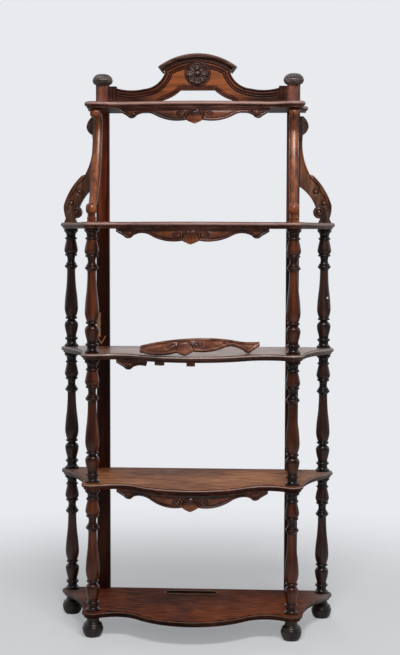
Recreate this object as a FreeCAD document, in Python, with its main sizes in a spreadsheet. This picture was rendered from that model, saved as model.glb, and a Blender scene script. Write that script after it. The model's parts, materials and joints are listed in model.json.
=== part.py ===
"""Étagère: five serpentine shelves on turned columns, with back uprights, crest, brackets and aprons.

Millimetres, +Z up, front towards -Y, origin on the floor under the middle of the outline.
Every body is drawn with y = 0 on the line of the shelves' rear edges, and then set back as a whole.
"""
import FreeCAD
import Part
import Sketcher
import math
import os

Vector = FreeCAD.Vector
Rotation = FreeCAD.Rotation

# Driving dimensions, in millimetres and degrees
SIZES = {
    # heights
    "foot_height": 54.0,
    "stage_rise": 352.0,
    "top_rise": 326.0,
    # shelves: thickness and moulded edge
    "shelf_thick": 17.0,
    "nosing_thick": 12.0,
    "nosing_flat": 0.6,
    "step_inset": 6.0,
    # shelves: plan of the four lower ones, depths are from the rear edge
    "column_reach": 270.0,
    "column_depth": 240.0,
    "lobe_radius": 30.0,
    "rear_reach": 359.0,
    "rear_depth": 20.0,
    "rear_lobe": 29.0,
    "wing_radius": 330.0,
    "dip_depth": 248.0,
    "dip_radius": 80.0,
    "bow_depth": 332.0,
    # top shelf plan
    "top_lobe_depth": 155.0,
    "top_dip_depth": 163.0,
    "top_bow_depth": 184.0,
    "top_rear_reach": 289.0,
    "top_rear_depth": 10.0,
    "top_rear_lobe": 22.0,
    "top_wing_radius": 150.0,
    # slot with a raised rim in the bottom shelf
    "slot_offset": 13.0,
    "slot_length": 146.0,
    "slot_width": 32.0,
    "slot_depth": 47.0,
    "slot_sink": 4.0,
    "slot_rim": 4.0,
    "slot_rim_rise": 2.0,
    # spigots and their sockets
    "spigot_radius": 8.0,
    "spigot_grip": 18.0,
    "fit_gap": 0.1,
    "socket_spare": 0.5,
    # turned columns, from the base upwards
    "base_radius": 19.5,
    "base_plinth": 5.0,
    "base_bell": 12.0,
    "base_hollow": 2.2,
    "neck_radius": 13.6,
    "neck_rise": 2.0,
    "ring_radius": 15.2,
    "ring_rise": 7.5,
    "ring_bulge": 3.0,
    "collar_rise": 7.0,
    "bulb_radius": 19.3,
    "bulb_rise": 27.0,
    "bulb_swell": 0.7,
    "bulb_shoulder": 14.5,
    "shoulder_swell": 2.6,
    "waist_radius": 10.8,
    "waist_rise": 3.0,
    "astragal_radius": 13.8,
    "astragal_rise": 7.5,
    "astragal_bulge": 3.1,
    "shaft_foot": 13.6,
    "shaft_radius": 19.1,
    "shaft_swell_rise": 30.0,
    "shaft_swell": 1.8,
    "shaft_mid": 14.6,
    "shaft_mid_rise": 48.0,
    "shaft_mid_swell": 0.6,
    "shaft_top": 11.7,
    "shaft_hollow": 0.7,
    "cup_radius": 15.8,
    "cup_flare": 5.0,
    "cup_rise": 8.0,
    "cup_bulge": 2.6,
    "cup_bead": 13.4,
    "cup_bead_rise": 5.0,
    "cup_bead_bulge": 1.6,
    "spool_radius": 12.6,
    "spool_rise": 19.5,
    "spool_hollow": 1.2,
    "upper_ring": 14.6,
    "upper_ring_rise": 7.0,
    "upper_ring_bulge": 2.9,
    "urn_foot": 15.0,
    "urn_radius": 19.2,
    "urn_swell_rise": 13.0,
    "urn_swell": 1.5,
    "urn_rise": 27.0,
    "urn_curve": 0.3,
    "cap_neck": 13.4,
    "cap_ring": 14.6,
    "cap_ring_rise": 6.5,
    "cap_ring_bulge": 2.6,
    "cap_neck_rise": 3.0,
    "cap_radius": 19.8,
    "cap_bell": 13.0,
    "cap_hollow": 2.2,
    "cap_plinth": 8.0,
    # bun feet, from the floor upwards
    "bun_sole": 20.0,
    "bun_radius": 28.5,
    "bun_rise": 20.0,
    "bun_swell": 2.6,
    "bun_top_rise": 20.0,
    "bun_top_swell": 3.4,
    "foot_neck": 22.0,
    # back uprights and finials
    "upright_width": 37.0,
    "upright_thick": 24.0,
    "upright_proud": 12.0,
    "upright_chamfer": 6.0,
    "post_rise": 62.0,
    "finial_spigot": 7.0,
    "finial_spigot_length": 20.0,
    "finial_foot": 18.0,
    "finial_radius": 29.0,
    "finial_under": 13.0,
    "finial_under_swell": 3.0,
    "finial_dome": 18.0,
    "finial_dome_swell": 6.0,
    "finial_crown": 6.0,
    # screws through the uprights
    "screw_radius": 2.2,
    "screw_head": 4.4,
    "screw_length": 42.0,
    "screw_sink": 3.0,
    # crest board, heights are from the top of the top shelf
    "crest_thick": 18.0,
    "crest_block": 22.5,
    "crest_block_rise": 57.0,
    "crest_step": 5.0,
    "crest_sweep_reach": 150.0,
    "crest_sweep_rise": 50.0,
    "crest_sweep_sag": 5.0,
    "crest_neck_reach": 93.0,
    "crest_neck_rise": 92.0,
    "crest_neck_sag": 10.0,
    "crest_cap_radius": 185.0,
    "crest_rise": 147.0,
    "crest_cap_reach": 111.0,
    "crest_cap_thick": 17.0,
    "crest_cap_bead": 8.0,
    "crest_cap_proud": 12.0,
    "crest_cap_cove": 5.0,
    "arch_rise": 46.0,
    "arch_flat": 48.0,
    "arch_shoulder_reach": 95.0,
    "arch_shoulder_rise": 19.0,
    "arch_foot_reach": 112.0,
    "arch_sag": 3.0,
    "panel_border": 11.0,
    "panel_sink": 3.0,
    "panel_reach": 37.0,
    "panel_neck_reach": 81.0,
    "panel_neck_rise": 92.0,
    "panel_sweep_reach": 147.0,
    "panel_sweep_rise": 39.5,
    "panel_neck_sag": 9.0,
    "panel_shoulder_reach": 102.0,
    "panel_shoulder_rise": 27.0,
    "panel_foot_reach": 126.0,
    "rosette_rise": 91.5,
    "rosette_radius": 31.5,
    "rosette_thick": 6.0,
    "rosette_button": 9.0,
    "rosette_button_rise": 5.0,
    "rosette_button_flat": 3.0,
    "petals": 8.0,
    "petal_root": 5.0,
    "petal_width": 20.0,
    "dowel_radius": 4.0,
    "dowel_length": 20.0,
    "crest_dowel_reach": 180.0,
    # front scroll brackets, in the plane of the front columns
    "bracket_width": 24.0,
    "bracket_bar": 18.0,
    "bracket_roll_width": 27.0,
    "bracket_collar": 12.5,
    "bracket_collar_rise": 22.0,
    "bracket_roll": 15.0,
    "bracket_belly": 6.0,
    "bracket_roll_lead": 3.0,
    "bracket_roll_rise": 35.0,
    "bracket_foot_depth": 228.0,
    "bracket_foot_rise": 34.0,
    "bracket_head_depth": 106.0,
    "bracket_head_rise": 252.0,
    "bracket_sag": 17.0,
    "bracket_top_roll": 13.0,
    "bracket_top_lead": 14.0,
    # side scroll brackets, heights are from the second shelf's top
    "side_thick": 24.0,
    "side_foot": 18.6,
    "side_cheek_rise": 49.0,
    "side_roll": 17.5,
    "side_roll_reach": 15.0,
    "side_roll_lead": 10.5,
    "side_roll_crown": 14.0,
    "side_roll_shoulder": 8.75,
    "side_roll_rise": 30.0,
    "side_eye": 5.0,
    "side_eye_proud": 2.0,
    "side_bulge": 6.5,
    "side_leaf_reach": 30.0,
    "side_leaf_rise": 129.0,
    "side_notch": 5.0,
    "side_hollow": 9.0,
    "side_head": 8.0,
    "side_neck_rise": 246.0,
    "side_ear_reach": 27.0,
    "side_ear_rise": 272.0,
    "side_ear_swell": 6.0,
    "side_ear_under": 3.0,
    "side_top_rise": 297.0,
    "side_under_rise": 101.0,
    "side_under_sag": 6.0,
    # aprons, heights are downwards from the shelf
    "apron_reach": 205.0,
    "apron_setback": 9.0,
    "apron_thick": 15.0,
    "apron_end": 9.0,
    "drop_outer": 184.0,
    "drop_outer_fall": 21.0,
    "drop_inner": 159.0,
    "drop_inner_fall": 20.0,
    "drop_swell": 6.5,
    "cove_inner": 110.0,
    "cove_inner_fall": 18.0,
    "cove_sag": 6.0,
    "lobe_inner": 22.0,
    "lobe_inner_fall": 33.0,
    "lobe_swell": 8.0,
    "shell_fall": 43.0,
    "shell_swell": 0.8,
    # carved bosses on the aprons: a shell in the middle between two volutes
    "shell_reach": 19.0,
    "shell_half": 19.0,
    "shell_middle": 22.0,
    "shell_proud": 4.5,
    "shell_root": 1.5,
    "volute_reach": 32.0,
    "volute_fall": 17.5,
    "volute_radius": 11.0,
    "volute_proud": 0.5,
    "volute_button": 3.5,
    "volute_button_proud": 2.0,
    # break in the third shelf's apron, and how its fragment lies
    "break_reach": 121.0,
    "break_slant": 7.0,
    "break_width": 3.0,
    "loose_lean": 20.0,
    "loose_turn": 6.0,
    "loose_roll": 4.0,
    "loose_shift": 41.0,
    "loose_back": 3.0,
    "loose_gap": 0.3,
    # glue blocks
    "block_length": 22.0,
    "block_rise": 11.0,
    "block_depth": 14.0,
    "block_reach": 88.0,
}

doc = FreeCAD.newDocument("etagere")
sheet = doc.addObject("Spreadsheet::Sheet", "sizes")
for row, (alias, number) in enumerate(SIZES.items(), start=1):
    sheet.set(f"A{row}", str(number))
    sheet.setAlias(f"A{row}", alias)
doc.recompute()


class Size:
    """A number that keeps its formula in the sheet beside its value."""

    def __init__(self, value, text):
        self.value = float(value)
        self.text = text

    def __add__(self, other):
        other = size_of(other)
        return Size(self.value + other.value, f"({self.text} + {other.text})")

    def __sub__(self, other):
        other = size_of(other)
        return Size(self.value - other.value, f"({self.text} - {other.text})")

    def __mul__(self, other):
        other = size_of(other)
        return Size(self.value * other.value, f"({self.text} * {other.text})")

    def __truediv__(self, other):
        other = size_of(other)
        return Size(self.value / other.value, f"({self.text} / {other.text})")

    def __rsub__(self, other):
        return size_of(other) - self

    def __neg__(self):
        return Size(-self.value, f"(-{self.text})")

    __radd__ = __add__
    __rmul__ = __mul__


def size_of(number):
    return number if isinstance(number, Size) else Size(number, repr(float(number)))


def root(size):
    return Size(math.sqrt(size.value), f"sqrt({size.text})")


class Sheet:
    """Gives each alias of the sheet as a Size."""

    def __getattr__(self, alias):
        return Size(getattr(sheet, alias), f"sizes.{alias}")


s = Sheet()


def tie(thing, prop, size):
    """Bind a property to the formula of its size."""
    thing.setExpression(prop, size_of(size).text)


def put(thing, x=0.0, y=0.0, z=0.0):
    """Place a body, with y from the rear edge of the shelves."""
    tie(thing, "Placement.Base.x", x)
    tie(thing, "Placement.Base.y", size_of(y) + REAR)
    tie(thing, "Placement.Base.z", z)


def new_body(label):
    body = doc.addObject("PartDesign::Body", label)
    body.Label = label
    return body


def plane(body, role):
    return next(item for item in body.Origin.OriginFeatures if item.Role == role)


def new_sketch(body, role, offset=None):
    sketch = body.newObject("Sketcher::SketchObject", "outline")
    sketch.AttachmentSupport = [(plane(body, role), "")]
    sketch.MapMode = "FlatFace"
    if offset is not None:
        tie(sketch, "AttachmentOffset.Base.z", offset)
    return sketch


def point(x, y):
    return Vector(size_of(x).value, size_of(y).value, 0)


def fix(sketch, kind, *where_and_size):
    """Add a dimension and bind it to its size, the last argument."""
    *where, size = where_and_size
    size = size_of(size)
    index = sketch.addConstraint(Sketcher.Constraint(kind, *where, size.value))
    sketch.setExpression(f"Constraints[{index}]", size.text)


def link(sketch, kind, *where):
    sketch.addConstraint(Sketcher.Constraint(kind, *where))


def locate(sketch, geo, pos, x, y):
    fix(sketch, "DistanceX", -1, 1, geo, pos, x)
    fix(sketch, "DistanceY", -1, 1, geo, pos, y)


def arc(centre, start, end):
    """Arc from start to end, counter-clockwise about the centre."""
    ray_0 = start - centre
    ray_1 = end - centre
    angle_0 = math.atan2(ray_0.y, ray_0.x)
    angle_1 = math.atan2(ray_1.y, ray_1.x)
    if angle_1 <= angle_0:
        angle_1 += 2 * math.pi
    return Part.ArcOfCircle(Part.Circle(centre, Vector(0, 0, 1), ray_0.Length), angle_0, angle_1)


def draw(sketch, corners):
    """Closed outline through corners (x, y, bulge).

    The bulge is the rise of the arc that leaves the corner, positive to the right of the way
    drawn, and 0 for a straight side.
    """
    ends = []
    for index, (x, y, bulge) in enumerate(corners):
        next_x, next_y, _ = corners[(index + 1) % len(corners)]
        here = point(x, y)
        there = point(next_x, next_y)
        rise = size_of(bulge).value
        if rise == 0:
            geo = sketch.addGeometry(Part.LineSegment(here, there), False)
            ends.append((geo, 1, 2))
            continue
        run = there - here
        side = Vector(run.y, -run.x, 0).normalize()
        radius = run.Length ** 2 / (8 * abs(rise)) + abs(rise) / 2
        centre = (here + there) * 0.5 + side * (rise - math.copysign(radius, rise))
        if rise > 0:
            geo = sketch.addGeometry(arc(centre, here, there), False)
            ends.append((geo, 1, 2))
        else:
            geo = sketch.addGeometry(arc(centre, there, here), False)
            ends.append((geo, 2, 1))
        across = size_of(next_x) - x
        along = size_of(next_y) - y
        depth = size_of(bulge) if rise > 0 else -size_of(bulge)
        fix(sketch, "Radius", geo, (across * across + along * along) / (depth * 8) + depth / 2)
    for index, (geo, start, _) in enumerate(ends):
        before, _, last = ends[index - 1]
        link(sketch, "Coincident", before, last, geo, start)
        locate(sketch, geo, start, corners[index][0], corners[index][1])


def circle(sketch, x, y, radius):
    geo = sketch.addGeometry(Part.Circle(point(x, y), Vector(0, 0, 1), size_of(radius).value), False)
    locate(sketch, geo, 3, x, y)
    fix(sketch, "Radius", geo, radius)


def pad(body, sketch, length, reverse=False, both=False):
    feature = body.newObject("PartDesign::Pad", "pad")
    feature.Profile = sketch
    feature.SideType = "Symmetric" if both else "One side"
    feature.Reversed = reverse
    tie(feature, "Length", length)
    return feature


def pocket(body, sketch, length=None, reverse=False):
    """Cut a sketch out, to a length or right through."""
    feature = body.newObject("PartDesign::Pocket", "pocket")
    feature.Profile = sketch
    feature.Reversed = reverse
    if length is None:
        feature.Type = "ThroughAll"
    else:
        tie(feature, "Length", length)
    return feature


def revolve(body, sketch):
    feature = body.newObject("PartDesign::Revolution", "revolution")
    feature.Profile = sketch
    feature.ReferenceAxis = (sketch, ["V_Axis"])
    return feature


def mirror(body, features):
    """Repeat features on the left of the middle plane."""
    feature = body.newObject("PartDesign::Mirrored", "mirrored")
    feature.Originals = features
    feature.MirrorPlane = (plane(body, "YZ_Plane"), [""])
    body.Tip = feature
    return feature


# Levels and common places
UPRIGHT_MIDDLE = s.upright_proud - s.upright_thick / 2
REAR = (s.bow_depth - s.finial_radius - UPRIGHT_MIDDLE) / 2
SHELF_UNDER = [s.foot_height + s.stage_rise * stage for stage in range(4)]
SHELF_UNDER.append(SHELF_UNDER[3] + s.top_rise)
SHELF_TOP = [under + s.shelf_thick for under in SHELF_UNDER]
COLUMN_HEIGHT = s.stage_rise - s.shelf_thick
SPIGOT_LENGTH = s.shelf_thick + s.spigot_grip
SOCKET_RADIUS = s.spigot_radius + s.fit_gap
SOCKET_DEPTH = s.spigot_grip + s.socket_spare
LOWER_PLAN = {
    "lobe": (s.column_reach, s.column_depth, s.lobe_radius),
    "rear": (s.rear_reach, s.rear_depth, s.rear_lobe),
    "wing": s.wing_radius,
    "dip": s.dip_depth,
    "bow": s.bow_depth,
}
TOP_PLAN = {
    "lobe": (s.column_reach, s.top_lobe_depth, s.lobe_radius),
    "rear": (s.top_rear_reach, s.top_rear_depth, s.top_rear_lobe),
    "wing": s.top_wing_radius,
    "dip": s.top_dip_depth,
    "bow": s.top_bow_depth,
}
PLANS = [LOWER_PLAN, LOWER_PLAN, LOWER_PLAN, LOWER_PLAN, TOP_PLAN]
SHELF_NAMES = ["bottom", "fourth", "third", "second", "top"]
SIDES = {"left": -1, "right": 1}


def dip_centre(plan):
    """Centre of the hollow between the bow and the lobe: its circle touches the lobe's."""
    reach, depth, radius = plan["lobe"]
    span = s.dip_radius + radius
    drop = plan["dip"] + s.dip_radius - depth
    return reach - root(span * span - drop * drop), -(plan["dip"] + s.dip_radius)


def bow_radius(plan):
    """Radius of the bow: it touches both hollows and stands forward of them."""
    across = dip_centre(plan)[0]
    forward = plan["bow"] - plan["dip"]
    return (across * across + forward * forward) / (forward * 2) - s.dip_radius


def wing_centre(plan):
    """Where the hollow side's circle touches the front and the rear lobe, as a plain point."""
    reach, depth, radius = plan["lobe"]
    rear_reach, rear_depth, rear_radius = plan["rear"]
    front = point(reach, -depth)
    span = point(rear_reach, -rear_depth) - front
    to_front = plan["wing"].value + radius.value
    to_rear = plan["wing"].value + rear_radius.value
    along = (to_front ** 2 - to_rear ** 2 + span.Length ** 2) / (2 * span.Length)
    away = math.sqrt(to_front ** 2 - along ** 2)
    unit = Vector(span).normalize()
    return front + unit * along + Vector(unit.y, -unit.x, 0) * away


def between(centre_0, radius_0, centre_1):
    """The point of a circle that lies towards another centre."""
    return centre_0 + (centre_1 - centre_0).normalize() * radius_0


def half_plan(sketch, plan, inset):
    """Right half of a shelf: rear edge, rear lobe, hollow side, front lobe, dip and bow."""
    reach, depth, lobe = plan["lobe"]
    rear_reach, rear_depth, rear = plan["rear"]
    dip_x, dip_y = dip_centre(plan)
    lobe_c = point(reach, -depth)
    rear_c = point(rear_reach, -rear_depth)
    dip_c = point(dip_x, dip_y)
    bow_c = Vector(0, bow_radius(plan).value - plan["bow"].value, 0)
    wing_c = wing_centre(plan)
    trim = size_of(inset).value
    rear_r = rear.value - trim
    corner = Vector(rear_c.x + math.sqrt(rear_r ** 2 - rear_c.y ** 2), 0, 0)
    to_wing = between(rear_c, rear_r, wing_c)
    to_lobe = between(lobe_c, lobe.value - trim, wing_c)
    to_dip = between(lobe_c, lobe.value - trim, dip_c)
    to_bow = between(bow_c, bow_radius(plan).value - trim, dip_c)
    front = Vector(0, trim - plan["bow"].value, 0)
    sketch.addGeometry([
        Part.LineSegment(Vector(0, 0, 0), corner),
        arc(rear_c, to_wing, corner),
        arc(wing_c, to_wing, to_lobe),
        arc(lobe_c, to_dip, to_lobe),
        arc(dip_c, to_dip, to_bow),
        arc(bow_c, front, to_bow),
        Part.LineSegment(front, Vector(0, 0, 0)),
    ], False)
    link(sketch, "Coincident", 0, 1, -1, 1)
    link(sketch, "PointOnObject", 0, 2, -1)
    link(sketch, "Coincident", 0, 2, 1, 2)
    link(sketch, "Tangent", 1, 1, 2, 1)
    link(sketch, "Tangent", 2, 2, 3, 2)
    link(sketch, "Tangent", 3, 1, 4, 1)
    link(sketch, "Tangent", 4, 2, 5, 2)
    link(sketch, "PointOnObject", 5, 3, -2)
    link(sketch, "PointOnObject", 5, 1, -2)
    link(sketch, "Coincident", 5, 1, 6, 1)
    link(sketch, "Coincident", 6, 2, -1, 1)
    locate(sketch, 1, 3, rear_reach, -rear_depth)
    fix(sketch, "Radius", 1, rear - inset)
    fix(sketch, "Radius", 2, plan["wing"] + inset)
    locate(sketch, 3, 3, reach, -depth)
    fix(sketch, "Radius", 3, lobe - inset)
    fix(sketch, "DistanceY", -1, 1, 4, 3, dip_y)
    fix(sketch, "Radius", 4, s.dip_radius + inset)
    fix(sketch, "DistanceY", -1, 1, 5, 1, inset - plan["bow"])


def upright_section(sketch, x, gap):
    """Section of an upright: chamfered in front, with a gap all round for its notches."""
    half = s.upright_width / 2 + gap
    front = s.upright_proud - s.upright_thick - gap
    back = s.upright_proud + gap
    cut = s.upright_chamfer
    draw(sketch, [
        (x - half + cut, front, 0), (x + half - cut, front, 0), (x + half, front + cut, 0),
        (x + half, back, 0), (x - half, back, 0), (x - half, front + cut, 0),
    ])


def moulded_edges(shape):
    """The curved edges of the upper and lower face: all but the plain rear edge."""
    return [f"Edge{index}" for index, edge in enumerate(shape.Edges, start=1)
            if edge.Curve.TypeId == "Part::GeomCircle"]


def make_shelf(name, plan, level):
    """A shelf with a round nosing over a set-back step, notched and bored for what meets it."""
    body = new_body(f"shelf_{name}")
    step = s.shelf_thick - s.nosing_thick
    nosing = new_sketch(body, "XY_Plane", step)
    half_plan(nosing, plan, size_of(0))
    board = mirror(body, [pad(body, nosing, s.nosing_thick)])
    doc.recompute()
    rounding = body.newObject("PartDesign::Fillet", "nosing")
    rounding.Base = (board, moulded_edges(board.Shape))
    tie(rounding, "Radius", s.nosing_thick / 2 - s.nosing_flat)
    under = new_sketch(body, "XY_Plane")
    half_plan(under, plan, s.step_inset)
    mirror(body, [pad(body, under, step)])
    notches = new_sketch(body, "XY_Plane")
    upright_section(notches, s.column_reach, s.fit_gap)
    upright_section(notches, -s.column_reach, s.fit_gap)
    pocket(body, notches, reverse=True)
    if plan is LOWER_PLAN:
        bores = new_sketch(body, "XY_Plane")
        for side in SIDES.values():
            circle(bores, s.column_reach * side, -s.column_depth, SOCKET_RADIUS)
            circle(bores, s.rear_reach * side, -s.rear_depth, SOCKET_RADIUS)
        pocket(body, bores, reverse=True)
    else:
        bores = new_sketch(body, "XY_Plane")
        for side in SIDES.values():
            circle(bores, s.column_reach * side, BRACKET_PIN_Y, s.dowel_radius + s.fit_gap)
        pocket(body, bores, s.dowel_length / 2 + s.socket_spare, reverse=True)
        seats = new_sketch(body, "XY_Plane", s.shelf_thick)
        for side in SIDES.values():
            circle(seats, s.crest_dowel_reach * side, -s.crest_thick / 2, s.dowel_radius + s.fit_gap)
        pocket(body, seats, s.dowel_length / 2 + s.socket_spare)
    pilots = new_sketch(body, "XZ_Plane", s.upright_thick - s.upright_proud)
    for side in SIDES.values():
        circle(pilots, s.column_reach * side, s.shelf_thick / 2, s.screw_radius + s.fit_gap)
    pocket(body, pilots, s.screw_length - s.upright_thick + s.socket_spare, reverse=True)
    put(body, z=level)
    return body


def stadium(sketch, x, y, length, width):
    """A slot outline with round ends: two arcs joined by straight sides that touch them."""
    run = (length - width) / 2
    half = width / 2
    left = point(x - run, y)
    right = point(x + run, y)
    drop = point(0, half)
    sketch.addGeometry([
        Part.LineSegment(left - drop, right - drop), arc(right, right - drop, right + drop),
        Part.LineSegment(right + drop, left + drop), arc(left, left + drop, left - drop),
    ], False)
    for geo in range(4):
        link(sketch, "Tangent", geo, 2, (geo + 1) % 4, 1)
    locate(sketch, 1, 3, x + run, y)
    locate(sketch, 3, 3, x - run, y)
    fix(sketch, "Radius", 1, half)
    link(sketch, "Equal", 1, 3)


def add_slot(body):
    """The bottom shelf's slot: a shallow recess inside a raised rim."""
    middle = -s.slot_offset
    rim = new_sketch(body, "XY_Plane", s.shelf_thick)
    stadium(rim, middle, -s.slot_depth, s.slot_length + s.slot_rim * 2, s.slot_width + s.slot_rim * 2)
    pad(body, rim, s.slot_rim_rise)
    recess = new_sketch(body, "XY_Plane", s.shelf_thick + s.slot_rim_rise)
    stadium(recess, middle, -s.slot_depth, s.slot_length, s.slot_width)
    pocket(body, recess, s.slot_sink + s.slot_rim_rise)


def turn(body, steps, start_radius, spigot, spigot_length, socket=None, socket_depth=None):
    """A turned piece: steps of (rise, radius, bulge) above its seat, a spigot below, a socket on top."""
    corners = [(0, -spigot_length, 0), (spigot, -spigot_length, 0), (spigot, 0, 0)]
    height = size_of(0)
    radius = start_radius
    for rise, next_radius, bulge in steps:
        corners.append((radius, height, bulge))
        height = height + rise
        radius = next_radius
    corners.append((radius, height, 0))
    if socket is None:
        corners.append((0, height, 0))
    else:
        corners += [(socket, height, 0), (socket, height - socket_depth, 0), (0, height - socket_depth, 0)]
    profile = new_sketch(body, "XZ_Plane")
    draw(profile, corners)
    revolve(body, profile)


def column_steps():
    """The column's mouldings from base to cap; the shaft's upper part takes what is left."""
    lower = [
        (s.base_plinth, s.base_radius, 0),
        (s.base_bell, s.neck_radius, -s.base_hollow),
        (s.neck_rise, s.neck_radius, 0),
        (0, s.ring_radius, 0),
        (s.ring_rise, s.ring_radius, s.ring_bulge),
        (0, s.neck_radius, 0),
        (s.collar_rise, s.neck_radius, 0),
        (s.bulb_rise, s.bulb_radius, s.bulb_swell),
        (s.bulb_shoulder, s.waist_radius, s.shoulder_swell),
        (s.waist_rise, s.waist_radius, 0),
        (0, s.astragal_radius, 0),
        (s.astragal_rise, s.astragal_radius, s.astragal_bulge),
        (0, s.shaft_foot, 0),
        (s.shaft_swell_rise, s.shaft_radius, s.shaft_swell),
        (s.shaft_mid_rise, s.shaft_mid, s.shaft_mid_swell),
    ]
    upper = [
        (s.cup_flare, s.cup_radius, 0),
        (s.cup_rise, s.cup_radius, s.cup_bulge),
        (0, s.cup_bead, 0),
        (s.cup_bead_rise, s.cup_bead, s.cup_bead_bulge),
        (0, s.spool_radius, 0),
        (s.spool_rise, s.spool_radius, -s.spool_hollow),
        (0, s.upper_ring, 0),
        (s.upper_ring_rise, s.upper_ring, s.upper_ring_bulge),
        (0, s.urn_foot, 0),
        (s.urn_swell_rise, s.urn_radius, s.urn_swell),
        (s.urn_rise, s.cap_neck, s.urn_curve),
        (0, s.cap_ring, 0),
        (s.cap_ring_rise, s.cap_ring, s.cap_ring_bulge),
        (0, s.cap_neck, 0),
        (s.cap_neck_rise, s.cap_neck, 0),
        (s.cap_bell, s.cap_radius, -s.cap_hollow),
        (s.cap_plinth, s.cap_radius, 0),
    ]
    rest = COLUMN_HEIGHT
    for rise, _, _ in lower + upper:
        rest = rest - rise
    return lower + [(rest, s.shaft_top, -s.shaft_hollow)] + upper


def make_column(label, x, y, level):
    body = new_body(label)
    turn(body, column_steps(), s.base_radius, s.spigot_radius, SPIGOT_LENGTH, SOCKET_RADIUS, SOCKET_DEPTH)
    put(body, x, y, level)
    return body


def make_foot(label, x, y):
    """A bun foot with a round neck under the shelf and a socket for the column's spigot."""
    body = new_body(label)
    neck_rise = s.foot_height - s.bun_rise - s.bun_top_rise
    bun = [
        (0, 0, 0), (s.bun_sole, 0, s.bun_swell),
        (s.bun_radius, s.bun_rise, s.bun_top_swell),
        (s.foot_neck, s.bun_rise + s.bun_top_rise, 0),
        (s.foot_neck, s.bun_rise + s.bun_top_rise + neck_rise, 0),
        (SOCKET_RADIUS, s.foot_height, 0), (SOCKET_RADIUS, s.foot_height - SOCKET_DEPTH, 0),
        (0, s.foot_height - SOCKET_DEPTH, 0),
    ]
    profile = new_sketch(body, "XZ_Plane")
    draw(profile, bun)
    revolve(body, profile)
    put(body, x, y)
    return body


def make_upright(label, side):
    """A flat back upright, bored for its screws and for the finial's spigot."""
    body = new_body(label)
    section = new_sketch(body, "XY_Plane")
    upright_section(section, size_of(0), size_of(0))
    height = SHELF_TOP[4] + s.post_rise - s.foot_height
    pad(body, section, height)
    holes = new_sketch(body, "XZ_Plane", -s.upright_proud)
    sinks = new_sketch(body, "XZ_Plane", -s.upright_proud)
    for under in SHELF_UNDER:
        centre = under - s.foot_height + s.shelf_thick / 2
        circle(holes, size_of(0), centre, s.screw_radius + s.fit_gap)
        circle(sinks, size_of(0), centre, s.screw_head + s.fit_gap)
    pocket(body, holes, s.upright_thick, reverse=True)
    pocket(body, sinks, s.screw_sink, reverse=True)
    socket = new_sketch(body, "XY_Plane", height)
    circle(socket, size_of(0), UPRIGHT_MIDDLE, s.finial_spigot + s.fit_gap)
    pocket(body, socket, s.finial_spigot_length + s.socket_spare)
    put(body, s.column_reach * side, 0, s.foot_height)
    return body


def make_finial(label, side):
    """A mushroom cap on the post."""
    body = new_body(label)
    crown = [
        (s.finial_under, s.finial_radius, s.finial_under_swell),
        (s.finial_dome, s.finial_crown, s.finial_dome_swell),
    ]
    turn(body, crown, s.finial_foot, s.finial_spigot, s.finial_spigot_length)
    put(body, s.column_reach * side, UPRIGHT_MIDDLE, SHELF_TOP[4] + s.post_rise)
    return body


def make_screws():
    """Screws from behind the uprights into the shelves, their heads sunk flush."""
    screws = []
    for side in SIDES.values():
        for under in SHELF_UNDER:
            shank = doc.addObject("Part::Cylinder", "shank")
            tie(shank, "Radius", s.screw_radius)
            tie(shank, "Height", s.screw_length)
            head = doc.addObject("Part::Cylinder", "head")
            tie(head, "Radius", s.screw_head)
            tie(head, "Height", s.screw_sink)
            screw = doc.addObject("Part::Fuse", "screw")
            screw.Base = shank
            screw.Tool = head
            screw.Placement.Rotation = Rotation(Vector(1, 0, 0), 90)
            put(screw, s.column_reach * side, s.upright_proud, under + s.shelf_thick / 2)
            screws.append(screw)
    group = doc.addObject("Part::Compound", "upright_screws")
    group.Label = "upright_screws"
    group.Links = screws
    return group


def pins(label, places):
    """A group of plain upright dowels at (x, y, z) of their lower ends."""
    dowels = []
    for x, y, z in places:
        dowel = doc.addObject("Part::Cylinder", "dowel")
        tie(dowel, "Radius", s.dowel_radius)
        tie(dowel, "Height", s.dowel_length)
        put(dowel, x, y, z)
        dowels.append(dowel)
    group = doc.addObject("Part::Compound", label)
    group.Label = label
    group.Links = dowels
    return group


# Crest: the cap's circle, and its underside, have their centre on the middle line
CREST_CENTRE = s.crest_rise - s.crest_cap_radius
CREST_UNDER = s.crest_cap_radius - s.crest_cap_thick
CREST_END = s.column_reach - s.upright_width / 2


def crest_corners():
    """Right half of the crest board, from the foot of the arch round to the middle."""
    share = CREST_UNDER / s.crest_cap_radius
    lip = s.crest_cap_reach * share
    lip_rise = CREST_CENTRE + root(CREST_UNDER * CREST_UNDER - lip * lip)
    crown = CREST_CENTRE + CREST_UNDER
    chord = root(lip * lip + (crown - lip_rise) * (crown - lip_rise))
    crown_bulge = CREST_UNDER - root(CREST_UNDER * CREST_UNDER - chord * chord / 4)
    inner = CREST_END - s.crest_block
    return [
        (s.arch_foot_reach, 0, 0), (CREST_END, 0, 0), (CREST_END, s.crest_block_rise, 0),
        (inner, s.crest_block_rise, 0), (inner, s.crest_block_rise - s.crest_step, -s.crest_sweep_sag),
        (s.crest_sweep_reach, s.crest_sweep_rise, -s.crest_neck_sag),
        (s.crest_neck_reach, s.crest_neck_rise, 0), (lip, lip_rise, crown_bulge),
        (0, crown, 0), (0, s.arch_rise, 0), (s.arch_flat, s.arch_rise, s.arch_sag),
        (s.arch_shoulder_reach, s.arch_shoulder_rise, -s.arch_sag),
    ]


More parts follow.
